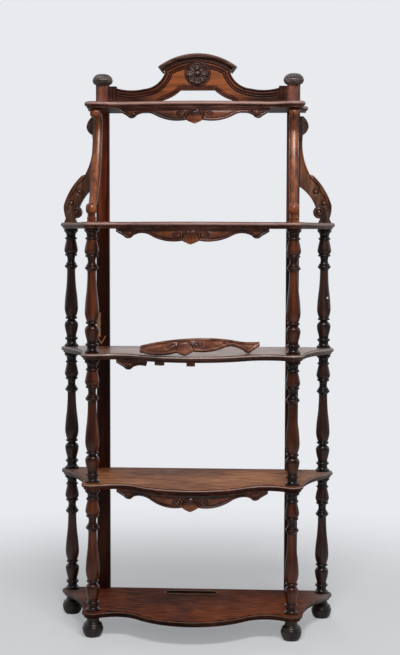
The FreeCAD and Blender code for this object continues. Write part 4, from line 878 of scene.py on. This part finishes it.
class ETAGERE_OT_crest(bpy.types.Operator):
    """Carve the crest board, its cap moulding and the rosette"""

    bl_idname = "etagere.crest"
    bl_label = "Carve the crest"

    def execute(self, context):
        hue = looks()
        # Board: dark mouldings round panels faded to orange
        crest = polished_wood("Polished rosewood crest", ("#1e0d08", "#42221a", "#63392a"),
                              figure_mm=(140, 14))
        step = hue.mesh_step / MM
        rails = crest_rails(int(math.ceil(CREST_REACH) / step))
        reach, lower, upper = (np.concatenate([sign * rail[:0:-1], rail])[:, None]
                               for sign, rail in zip((-1, 1, 1), rails))
        up = np.linspace(0, 1, int(CREST_TALL / step))[None, :]
        x = reach + 0 * up
        z = lower + (upper - lower) * up
        height, warm = crest_relief(x, z)
        front = np.stack([x, -CREST_THICK + hue.relief / MM - height, z + CREST_FOOT], -1)
        points, faces = board(front, 0.0)
        make_piece("crest_board", "carved", [(into_frame(points), faces, hollowness(height), warm)], crest)
        self.cap()
        self.rosette()
        return {"FINISHED"}

    def cap(self):
        """A worn bead over a cove with painted shade, carried round the cap's circle, with a short return at
        each end, darkened all over.
        """
        # Cap: dusty grey-brown, since dust lies on it
        worn = polished_wood("Worn polished cap moulding", ("#3c2922", "#6b4e43", "#937568"),
                             figure_mm=(120, 12))
        turn = np.linspace(0, 1, CAP_STEPS)
        bead_y = CAP_FRONT - 4.0 * np.sin(np.pi * turn)
        bead_r = CAP_TOP - 8.5 * turn
        cove_y = CAP_FRONT + 1.0 + 7.0 * np.sin(np.pi / 2 * turn)
        cove_r = CAP_TOP - 10.0 - 7.0 * (1 - np.cos(np.pi / 2 * turn))
        profile_y = np.concatenate([[0.0], bead_y, cove_y, [0.0]])
        profile_r = np.concatenate([[CAP_TOP], bead_r, cove_r, [CAP_UNDER]])
        # Painted shade: the cove is set dark, as shade under the bead.
        hollow = np.where(np.arange(len(profile_y)) > CAP_STEPS, 0.26, -0.05)
        shells = [self.arc_bar(profile_y, profile_r, -CAP_HALF_ANGLE, CAP_HALF_ANGLE, hollow)]
        block_y = np.array([0.0, CAP_FRONT, CAP_FRONT - 2.5, CAP_FRONT - 2.5, CAP_FRONT, 0.0])
        block_r = np.repeat([CAP_TOP, CAP_UNDER], 3) - np.array([1.0, 1.0, 3.0, 3.0, 5.0, 5.0])
        # The returns are darkened all over.
        for start in (-CAP_HALF_ANGLE + RETURN_INSET, CAP_HALF_ANGLE - RETURN_ANGLE - RETURN_INSET):
            shells.append(self.arc_bar(block_y, block_r, start, start + RETURN_ANGLE, np.full(6, 0.24)))
        make_piece("crest_cap", "moulded", shells, worn)

    def arc_bar(self, profile_y, profile_r, start, end, hollow):
        """A profile of depth and radius carried round the cap's centre from one angle to another."""
        angle = np.linspace(start, end, 2 + int(abs(end - start) / CAP_STEP_ANGLE))[:, None]
        rings = np.stack([profile_r * np.sin(angle), profile_y + 0 * angle,
                          CREST_FOOT + CAP_CENTRE + profile_r * np.cos(angle)], -1)
        points, faces = tube(rings)
        return into_frame(points), faces, hollow + 0 * angle, 0.0

    def rosette(self):
        """Petals with raised rims and a hollow heart, round a domed button: a polar height field."""
        # Rosette: near black, with a shine on the petals' rims
        dark = polished_wood("Ebonised carving", ("#1c1413", "#3b2c29", "#665450"), figure_mm=(40, 10),
                             rough=(0.28, 0.36), level=0.4)
        angle = np.linspace(0, 2 * np.pi, ROSETTE_TURNS + 1)[None, :]
        part = np.linspace(0, 1, ROSETTE_ROWS)[:, None]
        lobe = np.abs(np.cos(looks().petals / 2 * angle))
        radius = ROSETTE_RADIUS * (1 - PETAL_NOTCH + PETAL_NOTCH * lobe ** 0.6) * part
        across = np.sqrt(np.clip(1 - lobe, 0, 1))
        petal = PETAL_RISE * ease(1.0, 0.86, part) + bead(part, *PETAL_RIM) - quirk(across, *PETAL_CLEFT)
        petal = petal - dome((part - HOLLOW_MIDDLE) / HOLLOW_LONG, (1 - lobe) / HOLLOW_WIDE, *PETAL_HOLLOW)
        button = dome(part, 0, *BUTTON) + bead(part, *BUTTON_RING)
        height = np.maximum(np.maximum(petal, 0.5) * ease(0.27, 0.34, part), button)
        front = np.stack([radius * np.sin(angle), -CREST_THICK + ROUND_GROUND - height,
                          CREST_FOOT + ROSETTE_LEVEL + radius * np.cos(angle)], -1)
        back = front[[-1, 0]].copy()
        back[:, :, 1] = -CREST_THICK + ROSETTE_BACK
        back[1] = back[1].mean(axis=0)
        index = np.arange(height.size).reshape(height.shape)
        rear = index.size + np.arange(2 * index.shape[1]).reshape(2, -1)
        faces = grid_faces(index) + grid_faces(np.stack([index[-1], rear[0]])) + grid_faces(rear)
        points = into_frame(np.vstack([front.reshape(-1, 3), back.reshape(-1, 3)]))
        make_piece("rosette", "carved", [(points, faces, hollowness(height), 0.0)], dark)


# Finials: radius, and height above the post

FINIAL_FOOT = 18.0
FINIAL_RADIUS = 29.0
FINIAL_UNDER = 13.0
FINIAL_RISE = 31.0
FINIAL_ROWS = 90
FINIAL_TURNS = 216
GADROONS = 18
GADROON_DEEP = 0.8
FINIAL_RINGS = ((0.9, -3.5, 0.8), (0.7, 3.5, 0.7))
FINIAL_CROWN = (0.9, 9.5, 1.2)


class ETAGERE_OT_finials(bpy.types.Operator):
    """Turn the two mushroom finials and carve their gadroons"""

    bl_idname = "etagere.finials"
    bl_label = "Carve the finials"

    def execute(self, context):
        """The mushroom's outline carried round; gadroons, two rings and a crown line are cut into it."""
        # Finials: dusty grey over black
        dark = polished_wood("Ebonised turned finial", ("#352c2a", "#605552", "#8a807c"), figure_mm=(40, 12),
                             rough=(0.3, 0.38), level=0.4)
        angle = around(FINIAL_TURNS)
        line = outline([(FINIAL_FOOT, 0, 3.0), (FINIAL_RADIUS, FINIAL_UNDER, 6.0), (5.0, FINIAL_RISE, 0.4),
                        (POLE, FINIAL_RISE, 0)])
        span = np.concatenate([[0], np.cumsum(np.hypot(*np.diff(line, axis=0).T))])
        where = np.linspace(0, 1, FINIAL_ROWS)[:, None] * span[-1]
        radius = np.interp(where, span, line[:, 0])
        height = np.interp(where, span, line[:, 1])
        above = height - FINIAL_UNDER
        window = ease(-3, 1, above) * ease(8.0, 14.0, radius)
        cut = GADROON_DEEP * (1 - np.abs(np.cos(GADROONS / 2 * angle))) ** 1.4 * window
        for ring in FINIAL_RINGS:
            cut = cut + quirk(above, *ring)
        crown = quirk(radius, *FINIAL_CROWN) * (above > 0)
        foot = np.zeros((1, FINIAL_TURNS))
        carved = np.vstack([foot + POLE / 2, np.maximum(radius - cut, POLE / 2)])
        level = np.vstack([foot, height - 0.5 * cut - crown])
        points, faces = lathe(carved, level, FINIAL_TURNS)
        hollow = np.vstack([foot, hollowness(-(cut + crown))])
        for side in ("left", "right"):
            place = on_axis(f"finial_{side}", box_mm(f"upright_{side}")[1, 2])
            make_piece(f"finial_{side}", "carved", [((points + place) * MM, faces, hollow, 0.0)], dark)
        return {"FINISHED"}


# Front brackets, drawn in the upright plane through the front columns: y from the rear line, z from the shelf

BAR_FOOT = np.array([-228.0, 34.0])
BAR_HEAD = np.array([-106.0, 252.0])
BAR_SAG = 17.0
BAR_THICK = 18.0
BAR_SQUARE = 0.85
BAR_ROWS = 150
BAR_TURNS = 120
HOOK_ROWS = 60
HOOK_END = 98
BAR_HALF = 10.4
BAR_SWELL = 3.0
BAR_SPREAD = 0.4
REED = (1.2, 0.0, 1.5)
REED_GROOVE = (1.6, 0.8, 0.08)
REED_WAX = (0.3, 0.8, 0.08)
REED_PAINTED_HIGHLIGHT = (0.16, 0.0, 0.5)
REED_HIGHLIGHT_WARMTH = (0.65, 0.0, 1.7)
ROLL_FADED = 0.5
HEAD_ROOM = 309.0
HEAD_ROLL_LEAD = 14.0
HEAD_ROLL = 13.0
FOOT_ROLL = (-243.0, 35.0, 16.2)
ROLL_HALF = 14.0
ROLL_END = 0.62
COLLAR_RADIUS = (POLE, 12.5, 12.5, 11.4, 11.4, 12.3, 12.5, 12.3, 11.0, 10.6, POLE)
COLLAR_HEIGHT = (0.0, 0.0, 4.0, 5.0, 7.0, 8.2, 10.0, 11.8, 13.0, 22.0, 22.0)
COLLAR_RING = (7.5, 12.5)
ROLL_TURNS = 72


def barrel(radius):
    """A scroll roll about the X axis: bellied between its ends, each end face carved with a spiral."""
    angle = around(ROLL_TURNS)
    face = np.linspace(0, 1, 22)[:, None]
    belly = np.linspace(-1, 1, 24)[:, None]
    end_radius = radius * ROLL_END * face + 0 * angle
    curl = scroll(end_radius * np.cos(angle), end_radius * np.sin(angle), radius * 0.46, radius * 0.27)
    end_x = ROLL_HALF * (0.93 + 0.07 * (1 - face ** 2)) - 1.6 * (1 - curl) * ease(1.0, 0.85, face)
    side_radius = radius * np.sqrt(1 - (1 - ROLL_END ** 2) * belly ** 2) + 0 * angle
    side_x = ROLL_HALF * 0.97 * belly + 0 * angle
    end_hollow = 0.25 * (1 - curl) - 0.05
    all_x = np.vstack([-end_x, side_x, end_x[::-1]])
    all_radius = np.vstack([end_radius, side_radius, end_radius[::-1]])
    hollow = np.vstack([end_hollow, 0 * side_x - 0.04, end_hollow[::-1]])
    points = np.stack([all_x, all_radius * np.cos(angle), all_radius * np.sin(angle)], -1)
    index = np.arange(all_x.size).reshape(all_x.shape)
    return points.reshape(-1, 3), grid_faces(np.hstack([index, index[:, :1]])), hollow


def bar_path():
    """The bar's long arc and the hook that continues it, as points with outward directions."""
    run = BAR_HEAD - BAR_FOOT
    chord = np.hypot(*run)
    radius = chord ** 2 / (8 * BAR_SAG) + BAR_SAG / 2
    centre = (BAR_HEAD + BAR_FOOT) / 2 + np.array([-run[1], run[0]]) / chord * (radius - BAR_SAG)
    aim = (centre - BAR_HEAD) / radius
    hook = (HEAD_ROOM - BAR_HEAD[1] - BAR_THICK / 2) / (aim[1] + 1)
    hook_centre = BAR_HEAD + aim * hook
    start = math.atan2(*(BAR_FOOT - centre)[::-1])
    bend = math.atan2(*(BAR_HEAD - centre)[::-1])
    out = np.concatenate([np.linspace(start, bend, BAR_ROWS),
                          np.linspace(bend, math.radians(HOOK_END), HOOK_ROWS)[1:]])
    normal = np.stack([np.cos(out), np.sin(out)], -1)
    path = np.vstack([centre + radius * normal[:BAR_ROWS], hook_centre + hook * normal[BAR_ROWS:]])
    return path, normal, hook_centre


class ETAGERE_OT_front_brackets(bpy.types.Operator):
    """Carve the two leaning scroll brackets with reeded fronts"""

    bl_idname = "etagere.front_brackets"
    bl_label = "Carve the front brackets"

    def execute(self, context):
        """A rounded square section with a reed and two grooves, carried along the bar; rolls and a collar."""
        # Brackets: orange-brown, with a painted highlight along the middle of the reed
        reeded = polished_wood("Reeded rosewood bracket", ("#2a1007", "#612e17", "#93532c"), along="Z",
                               figure_mm=(160, 12), rough=(0.34, 0.42), level=0.3, wax=0.25)
        path, normal, hook_centre = bar_path()
        part = np.linspace(0, 1, len(path))[:, None]
        half_width = BAR_HALF + BAR_SWELL * np.sin(np.pi * 0.9 * part) + BAR_SPREAD * part
        angle = around(BAR_TURNS)
        waves = (np.cos(angle), np.sin(angle))
        across, through = (np.sign(wave) * np.abs(wave) ** BAR_SQUARE for wave in waves)
        front = ease(0.2, -0.6, through)
        from_middle = np.abs(across)
        offset = BAR_THICK / 2 * through + (quirk(from_middle, *REED_GROOVE) - bead(across, *REED)) * front
        rings = np.stack([half_width * across, path[:, :1] + normal[:, :1] * offset,
                          path[:, 1:] + normal[:, 1:] * offset], -1)
        # Painted highlight: the middle of the reed is painted paler and warmer; dark wax lies in the grooves.
        hollow = front * (quirk(from_middle, *REED_WAX) - bead(across, *REED_PAINTED_HIGHLIGHT)) + 0 * part
        shells = [(*tube(rings), hollow, front * bead(across, *REED_HIGHLIGHT_WARMTH) + 0 * part)]
        head_roll = (hook_centre[0] - HEAD_ROLL_LEAD, HEAD_ROOM - HEAD_ROLL, HEAD_ROLL)
        for depth, level, radius in (FOOT_ROLL, head_roll):
            points, faces, hollow = barrel(radius)
            faded = ROLL_FADED * (np.abs(points[:, 0]) < ROLL_HALF * 0.9)
            shells.append((points + np.array([0, depth, level]), faces, hollow, faded))
        radius = np.array(COLLAR_RADIUS)[:, None]
        height = np.array(COLLAR_HEIGHT)[:, None]
        points, faces = lathe(radius, height, ROLL_TURNS)
        rubbed = -0.5 * ((height > COLLAR_RING[0]) & (height < COLLAR_RING[1])) + np.zeros((1, ROLL_TURNS))
        shells.append((points + np.array([0, COLUMN_DEPTH, 0]), faces, rubbed, 0.0))
        for side, sign in (("left", -1), ("right", 1)):
            shift = np.array([sign * COLUMN_REACH, 0, SHELF_TOP["second"]])
            placed = [(into_frame(points + shift), *rest) for points, *rest in shells]
            make_piece(f"bracket_front_{side}", "carved", placed, reeded)
        return {"FINISHED"}


# Side brackets: x from the upright's outer face, z from the second shelf

SIDE_INNER = [(0, 101, -6), (45, 44, 0)]
SIDE_OUTER = [(8, 297, -2.5), (23.5, 271, -4.5), (8, 246, 9), (28.5, 135, 0), (37, 133, -6.5), (89.1, 49, -2),
              (84, 12, 0), (89.1, 0, 0)]
SIDE_ROLL = (55.5, 30.0, 17.5)
SIDE_FOOT = (51.9, 70.5, 38.75)
SIDE_FRONT = -32.0
SIDE_SINK = 3.6
SIDE_BACK = -8.0
SIDE_TOP = 297.0
SIDE_WIDE = 60.0
SIDE_GROUND = 1.2
LEAF_TOP = 134.0
LEAF_WIDE = 11.5
LEAF_WAVE = 2.2
LEAF_LOBE = 32.0
LEAF_STEP = 1.4
LEAF_SWELL = 1.8
LEAF_EDGE_GROOVE = (2.2, 1.4, 1.5)
LEAF_VEIN = (1.0, 0.0, 1.1)
LEAF_CURLS = ((45.0, 87.0), (68.5, 55.0))
CURL_BOSS = (5.4, 6.4)
CURL_GROOVE = (1.8, 7.4, 1.2)
STEM_BEAD = (0.9, 2.0, 4.0)
STEM_GROOVE = (0.8, 4.8, 0.8)
INNER_GROOVE = (0.7, 3.2, 0.8)
EAR_FOOT = 244.0


def side_rails(z):
    """Inner and outer edge of a side bracket at each height."""
    under = outline(SIDE_INNER)[::-1]
    inner = np.where(z > SIDE_INNER[0][1], 0.0, np.interp(z, under[:, 1], under[:, 0]))
    roll_x, roll_z, roll = SIDE_ROLL
    on_roll = roll_x - np.sqrt(np.maximum(roll ** 2 - (z - roll_z) ** 2, 0))
    foot = SIDE_FOOT[0] + (SIDE_FOOT[1] - SIDE_FOOT[0]) * z / SIDE_FOOT[2]
    low = np.where(np.abs(z - roll_z) < roll, np.minimum(on_roll, foot), foot)
    inner = np.where(z < SIDE_INNER[1][1], low, inner)
    outer_line = outline(SIDE_OUTER)[::-1]
    outer = np.interp(z, outer_line[:, 1], outer_line[:, 0])
    return inner, outer


def side_relief(x, z, inner, outer):
    """Leaf along the outer edge with two curled lobes, a fine edge line, the volute and the ear's strokes.

    Each form is a height over the distance from the edges or from its own eye. Returns the height and
    how hollow each point is, with the whole ear darkened on top.
    """
    from_outer = outer - x
    from_inner = x - inner
    leaf_width = LEAF_WIDE + LEAF_WAVE * np.sin((z - 52) / LEAF_LOBE * 2 * np.pi + 0.6)
    below_tip = ease(LEAF_TOP, LEAF_TOP - 6, z)
    leaf = ease(leaf_width + 0.8, leaf_width - 0.8, from_outer) * below_tip * ease(26, 36, z)
    swell = bead(from_outer, LEAF_SWELL, leaf_width * 0.45, leaf_width * 1.3)
    height = SIDE_GROUND + leaf * (LEAF_STEP + swell)
    height -= quirk(from_outer - leaf_width, *LEAF_EDGE_GROOVE) * below_tip * ease(28, 40, z)
    height -= quirk(from_outer - leaf_width * 0.42, *LEAF_VEIN) * leaf
    for curl_x, curl_z in LEAF_CURLS:
        height = np.maximum(height, dome(x - curl_x, z - curl_z, *CURL_BOSS))
        height -= quirk(np.hypot(x - curl_x, z - curl_z), *CURL_GROOVE)
    stem = ease(LEAF_TOP, LEAF_TOP + 6, z) * ease(246, 238, z)
    height += (bead(from_outer, *STEM_BEAD) - quirk(from_outer, *STEM_GROOVE)) * stem
    height -= quirk(from_inner, *INNER_GROOVE) * ease(104, 96, z) * ease(46, 54, z)
    roll_x, roll_z, roll = SIDE_ROLL
    eye_x = x - roll_x
    eye_z = z - roll_z
    curl = 1.0 + 3.4 * scroll(eye_x, eye_z, roll * 0.82, roll * 0.5)
    curl = np.maximum(curl, dome(eye_x, eye_z, 4.6, roll * 0.26))
    height = np.where(np.hypot(eye_x, eye_z) < roll, curl, height)
    ear = ease(EAR_FOOT, EAR_FOOT + 8, z)
    height += ear * (1.6 * np.abs(np.sin((x * 1.3 + z) * 0.3)) + 0.8)
    # The ear is darkened all over, on top of the dark wax in its hollows.
    return height, hollowness(height) + 0.14 * ear


class ETAGERE_OT_side_brackets(bpy.types.Operator):
    """Carve the two side scrolls between the uprights and the second shelf"""

    bl_idname = "etagere.side_brackets"
    bl_label = "Carve the side brackets"

    def execute(self, context):
        """Rows of height between the inner and the outer edge; the front stands off by the relief."""
        # Scrolls: brown, orange on the long stem and waxed over the leaf
        scrolled = polished_wood("Carved rosewood scroll", ("#26140d", "#4f3224", "#785440"), along="Z",
                                 figure_mm=(120, 14), rough=(0.28, 0.36), level=0.35, wax=0.5)
        step = looks().mesh_step / MM
        z = np.linspace(0, SIDE_TOP, int(SIDE_TOP / step))[:, None]
        across = np.linspace(0, 1, int(SIDE_WIDE / step))[None, :]
        inner, outer = side_rails(z)
        x = inner + (outer - inner) * across
        z = z + 0 * across
        height, hollow = side_relief(x, z, inner, outer)
        points, faces = board(np.stack([x, SIDE_FRONT + SIDE_SINK - height, z], -1), SIDE_BACK)
        warm = 0.6 * ease(110, 150, z) * ease(240, 190, z) + 0.2 * ease(40, 70, z) * ease(140, 110, z)
        for side, sign in (("left", -1), ("right", 1)):
            shift = np.array([sign * UPRIGHT_FACE, 0, SHELF_TOP["second"]])
            placed = into_frame(points * np.array([sign, 1, 1]) + shift)
            make_piece(f"bracket_side_{side}", "carved", [(placed, faces, hollow, warm)], scrolled)
        return {"FINISHED"}


# Columns: mouldings from base to cap, each as its rise, the radius it ends at, its bulge and its dark wax

COLUMN_RISE = 335.0
COLUMN_BASE = 19.5
COLUMN_TURNS = 56
END_WAX = 0.3
SHAFT_TOP = 11.7
SHAFT_HOLLOW = -0.7
COLUMN_LOWER = [
    (5.0, 19.5, 0, 0.22), (12.0, 13.6, -2.4, 0.26), (2.0, 13.6, 0, 0.32), (0, 15.2, 0, 0.32),
    (7.5, 15.2, 3.0, 0.14), (0, 13.6, 0, 0.32), (7.0, 13.6, 0, 0.24), (27.0, 19.3, 0.7, 0.03),
    (14.5, 10.8, 2.6, 0.08), (3.0, 10.8, 0, 0.34), (0, 13.8, 0, 0.34), (7.5, 13.8, 3.1, 0.18),
    (0, 13.6, 0, 0.34), (30.0, 19.1, 1.8, 0.0), (48.0, 14.6, 0.6, 0.0),
]
COLUMN_UPPER = [
    (5.0, 15.8, 0, 0.16), (8.0, 15.8, 2.6, 0.16), (0, 13.4, 0, 0.34), (5.0, 13.4, 1.6, 0.2),
    (0, 12.6, 0, 0.34), (19.5, 12.6, -2.0, 0.2), (0, 14.6, 0, 0.34), (7.0, 14.6, 2.9, 0.16),
    (0, 15.0, 0, 0.34), (13.0, 19.2, 1.5, 0.05), (27.0, 13.4, 0.3, 0.02), (0, 14.6, 0, 0.34),
    (6.5, 14.6, 2.6, 0.18), (0, 13.4, 0, 0.34), (3.0, 13.4, 0, 0.34), (13.0, 19.8, -2.4, 0.28),
    (8.0, 19.8, 0, 0.24),
]


def column_profile():
    """The mouldings in turn: radius and height of each point of the profile, and the wax left there."""
    shaft = COLUMN_RISE - sum(step[0] for step in COLUMN_LOWER + COLUMN_UPPER)
    here = (COLUMN_BASE, 0.0)
    line = [np.array([[POLE, 0.0]])]
    wax = [np.array([END_WAX])]
    for rise, radius, bulge, dark in [*COLUMN_LOWER, (shaft, SHAFT_TOP, SHAFT_HOLLOW, 0.0), *COLUMN_UPPER]:
        there = (radius, here[1] + rise)
        stretch = arc_points(here, there, bulge, 4 if bulge == 0 else 13)
        line.append(stretch)
        wax.append(np.full(len(stretch), dark))
        here = there
    line.append(np.array([[POLE, COLUMN_RISE]]))
    wax.append(np.array([END_WAX]))
    return np.vstack(line), np.concatenate(wax)


class ETAGERE_OT_columns(bpy.types.Operator):
    """Turn the twelve columns"""

    bl_idname = "etagere.columns"
    bl_label = "Turn the columns"

    def execute(self, context):
        """The profile carried round each column's axis; shafts and bulbs are faded, rings keep black wax."""
        # Front columns: near-black red-brown with a waxed shine
        front = polished_wood("Turned rosewood, waxed", ("#120504", "#311309", "#572715"), along="Z",
                              figure_mm=(220, 16), rough=(0.3, 0.38), level=0.1, wax=0.5)
        # Rear columns: blacker, as painted shade for the back of the stand and because hands reach them less
        rear = polished_wood("Turned rosewood, waxed, painted shade", ("#0c0607", "#1a0f10", "#301b1a"), along="Z",
                             figure_mm=(220, 16), rough=(0.34, 0.42), level=0.2, wax=0.5, weather=flecked)
        line, wax = column_profile()
        points, faces = lathe(line[:, :1], line[:, 1:], COLUMN_TURNS)
        hollow = wax[:, None] + np.zeros((1, COLUMN_TURNS))
        polished = ease(0.1, 0.0, hollow)
        for name in NODES:
            if not name.startswith("column"):
                continue
            finish, faded = (front, 0.12) if "front" in name else (rear, 0.08)
            seat = on_axis(name, box_mm(name)[1, 2] - COLUMN_RISE)
            make_piece(name, "turned", [((points + seat) * MM, faces, hollow, faded * polished)], finish)
        return {"FINISHED"}


# Feet: radius and height from the floor

FOOT_RADIUS = (POLE, 19.5, 22.6, 25.4, 27.4, 28.3, 28.4, 27.8, 26.4, 25.6, 25.9, 25.6, 24.0, 21.0, 18.6, 17.2,
               16.8, 17.0, 17.0, POLE)
FOOT_HEIGHT = (0.0, 0.0, 3.5, 8.5, 15.0, 20.5, 24.0, 27.0, 29.2, 30.2, 32.0, 34.0, 36.0, 38.2, 40.5, 43.0,
               46.5, 50.0, 53.9, 53.9)
FOOT_ROWS = 120
FOOT_TURNS = 96
FOOT_GROOVE = (0.3, 30.0, 0.9)


class ETAGERE_OT_feet(bpy.types.Operator):
    """Turn the four bun feet"""

    bl_idname = "etagere.feet"
    bl_label = "Turn the feet"

    def execute(self, context):
        """A profile through its turned points, carried round each foot's axis, with wax in its groove."""
        # Feet: black with a soft shine
        black = polished_wood("Turned foot, dark wax", ("#110c0a", "#231a17", "#3a2c27"), along="Z",
                              figure_mm=(90, 18), rough=(0.28, 0.34), level=0.45)
        part = np.linspace(0, 1, FOOT_ROWS)[:, None]
        place = np.linspace(0, 1, len(FOOT_RADIUS))
        height = np.interp(part, place, FOOT_HEIGHT)
        points, faces = lathe(np.interp(part, place, FOOT_RADIUS), height, FOOT_TURNS)
        hollow = quirk(height, *FOOT_GROOVE) + np.zeros((1, FOOT_TURNS))
        for name in NODES:
            if name.startswith("foot"):
                make_piece(name, "turned", [((points + on_axis(name, 0.0)) * MM, faces, hollow, 0.0)], black)
        return {"FINISHED"}


# Stage

BACKDROP = "#e8eaee"
PAPER = "#f4f5f6"
FLOOR_REACH = 14.0
FLOOR_FADE = (0.4, 1.9)
DIM_LIGHT = 0.15
ROOM_FADE = (-0.5, 0.2)
AIM = Vector((0, 0, 0.8))
# Each lamp's name, place, sides and share of the main light's power
LAMPS = (("key", (0.3, -1.4, 2.6), (0.9, 0.4), 1.0), ("front", (0.5, -4.0, 1.6), (1.0, 2.4), 1.0),
         ("rear", (-0.5, 2.8, 1.9), (1.5, 1.5), 0.5))
SENSOR_MM = 36.0
CAMERA_YAW = 0.0548
CAMERA_PITCH = 0.0687
CAMERA_ROLL = 0.0023


class ETAGERE_OT_stage(bpy.types.Operator):
    """Pale floor, soft light and the camera"""

    bl_idname = "etagere.stage"
    bl_label = "Set the stage"

    def execute(self, context):
        scene = context.scene
        scene.view_settings.view_transform = "Standard"
        mesh = bpy.data.meshes.new("floor")
        corners = [(x * FLOOR_REACH, y * FLOOR_REACH, 0) for x, y in ((-1, -1), (1, -1), (1, 1), (-1, 1))]
        mesh.from_pydata(corners, [], [(0, 1, 2, 3)])
        mesh.materials.append(self.paper())
        floor = bpy.data.objects.new("floor", mesh)
        scene.collection.objects.link(floor)
        self.world(scene)
        for name, place, sides, share in LAMPS:
            lamp = bpy.data.lights.new(name, "AREA")
            lamp.energy = looks().key_power * share
            lamp.shape = "RECTANGLE"
            lamp.size, lamp.size_y = sides
            light = bpy.data.objects.new(name, lamp)
            light.location = place
            light.rotation_euler = (AIM - Vector(place)).to_track_quat("-Z", "Y").to_euler()
            light.visible_camera = False
            light.visible_glossy = name == "key"
            scene.collection.objects.link(light)
        lens = bpy.data.cameras.new("camera")
        lens.lens = looks().lens
        lens.sensor_width = SENSOR_MM
        camera = bpy.data.objects.new("camera", lens)
        camera.matrix_world = (Matrix.Translation(looks().place) @ Matrix.Rotation(CAMERA_YAW, 4, "Z")
                               @ Matrix.Rotation(math.pi / 2 - CAMERA_PITCH, 4, "X")
                               @ Matrix.Rotation(CAMERA_ROLL, 4, "Z"))
        scene.collection.objects.link(camera)
        scene.camera = camera
        return {"FINISHED"}

    def paper(self):
        """Pale paper sweep: lit and shadowed round the object, fading into the backdrop further out."""
        material, tree = start_material("Pale paper sweep")
        away = add(tree, "VectorMath", "Value", {"operation": "LENGTH"}, i0=add(tree, "TexCoord", "Object"))
        fade = add(tree, "MapRange", 0, {"interpolation_type": "SMOOTHERSTEP"}, Value=away, i1=FLOOR_FADE[0],
                   i2=FLOOR_FADE[1], i3=0.35)
        amount = add(tree, *PRODUCT, i0=fade, i1=add(tree, "LightPath", "Is Camera Ray"))
        lit = add(tree, "BsdfDiffuse", Color=linear(PAPER))
        glow = add(tree, "Emission", Color=linear(BACKDROP), Strength=1.0)
        add(tree, "OutputMaterial", Surface=add(tree, "MixShader", i0=amount, i1=lit, i2=glow))
        return material

    def world(self, scene):
        """Dim even light on the object, and the pale backdrop for what the camera and polish see.

        Polish sees the backdrop whole behind and beside the object, and dimmer on the side where the camera
        stands.
        """
        scene.world = bpy.data.worlds.new("studio")
        scene.world.use_nodes = True
        tree = scene.world.node_tree
        tree.nodes.clear()
        rays = add(tree, "LightPath").node.outputs
        clear = add(tree, *LARGER, i0=rays["Is Camera Ray"], i1=rays["Is Glossy Ray"])
        clear = add(tree, *LARGER, i0=clear, i1=rays["Is Transmission Ray"])
        way = add(tree, "SeparateXYZ", "Y", Vector=add(tree, "TexCoord", "Generated"))
        room = add(tree, "MapRange", Value=way, i1=ROOM_FADE[0], i2=ROOM_FADE[1], i3=0.2)
        strength = add(tree, *LARGER, i0=rays["Is Camera Ray"], i1=room)
        dim = add(tree, "Background", Color=linear("#ffffff"), Strength=DIM_LIGHT)
        pale = add(tree, "Background", Color=linear(BACKDROP), Strength=strength)
        add(tree, "OutputWorld", Surface=add(tree, "MixShader", i0=clear, i1=dim, i2=pale))


class ETAGERE_PT_panel(bpy.types.Panel):
    """Sizes, colours and steps of the étagère"""

    bl_idname = "ETAGERE_PT_panel"
    bl_label = "Étagère"
    bl_space_type = "VIEW_3D"
    bl_region_type = "UI"
    bl_category = "Étagère"

    def draw(self, context):
        for name in EtagereLooks.__annotations__:
            self.layout.prop(context.scene.etagere_looks, name)
        for step in STEPS:
            self.layout.operator(step.bl_idname)


STEPS = (ETAGERE_OT_finish, ETAGERE_OT_aprons, ETAGERE_OT_crest, ETAGERE_OT_finials,
         ETAGERE_OT_front_brackets, ETAGERE_OT_side_brackets, ETAGERE_OT_columns, ETAGERE_OT_feet,
         ETAGERE_OT_stage)
CLASSES = (EtagereLooks, *STEPS, ETAGERE_PT_panel)


def register():
    for item in CLASSES:
        bpy.utils.register_class(item)
    bpy.types.Scene.etagere_looks = PointerProperty(type=EtagereLooks)


def unregister():
    del bpy.types.Scene.etagere_looks
    for item in reversed(CLASSES):
        bpy.utils.unregister_class(item)


def main():
    register()
    bpy.ops.etagere.finish()
    bpy.ops.etagere.aprons()
    bpy.ops.etagere.crest()
    bpy.ops.etagere.finials()
    bpy.ops.etagere.front_brackets()
    bpy.ops.etagere.side_brackets()
    bpy.ops.etagere.columns()
    bpy.ops.etagere.feet()
    bpy.ops.etagere.stage()


if __name__ == "__main__":
    main()
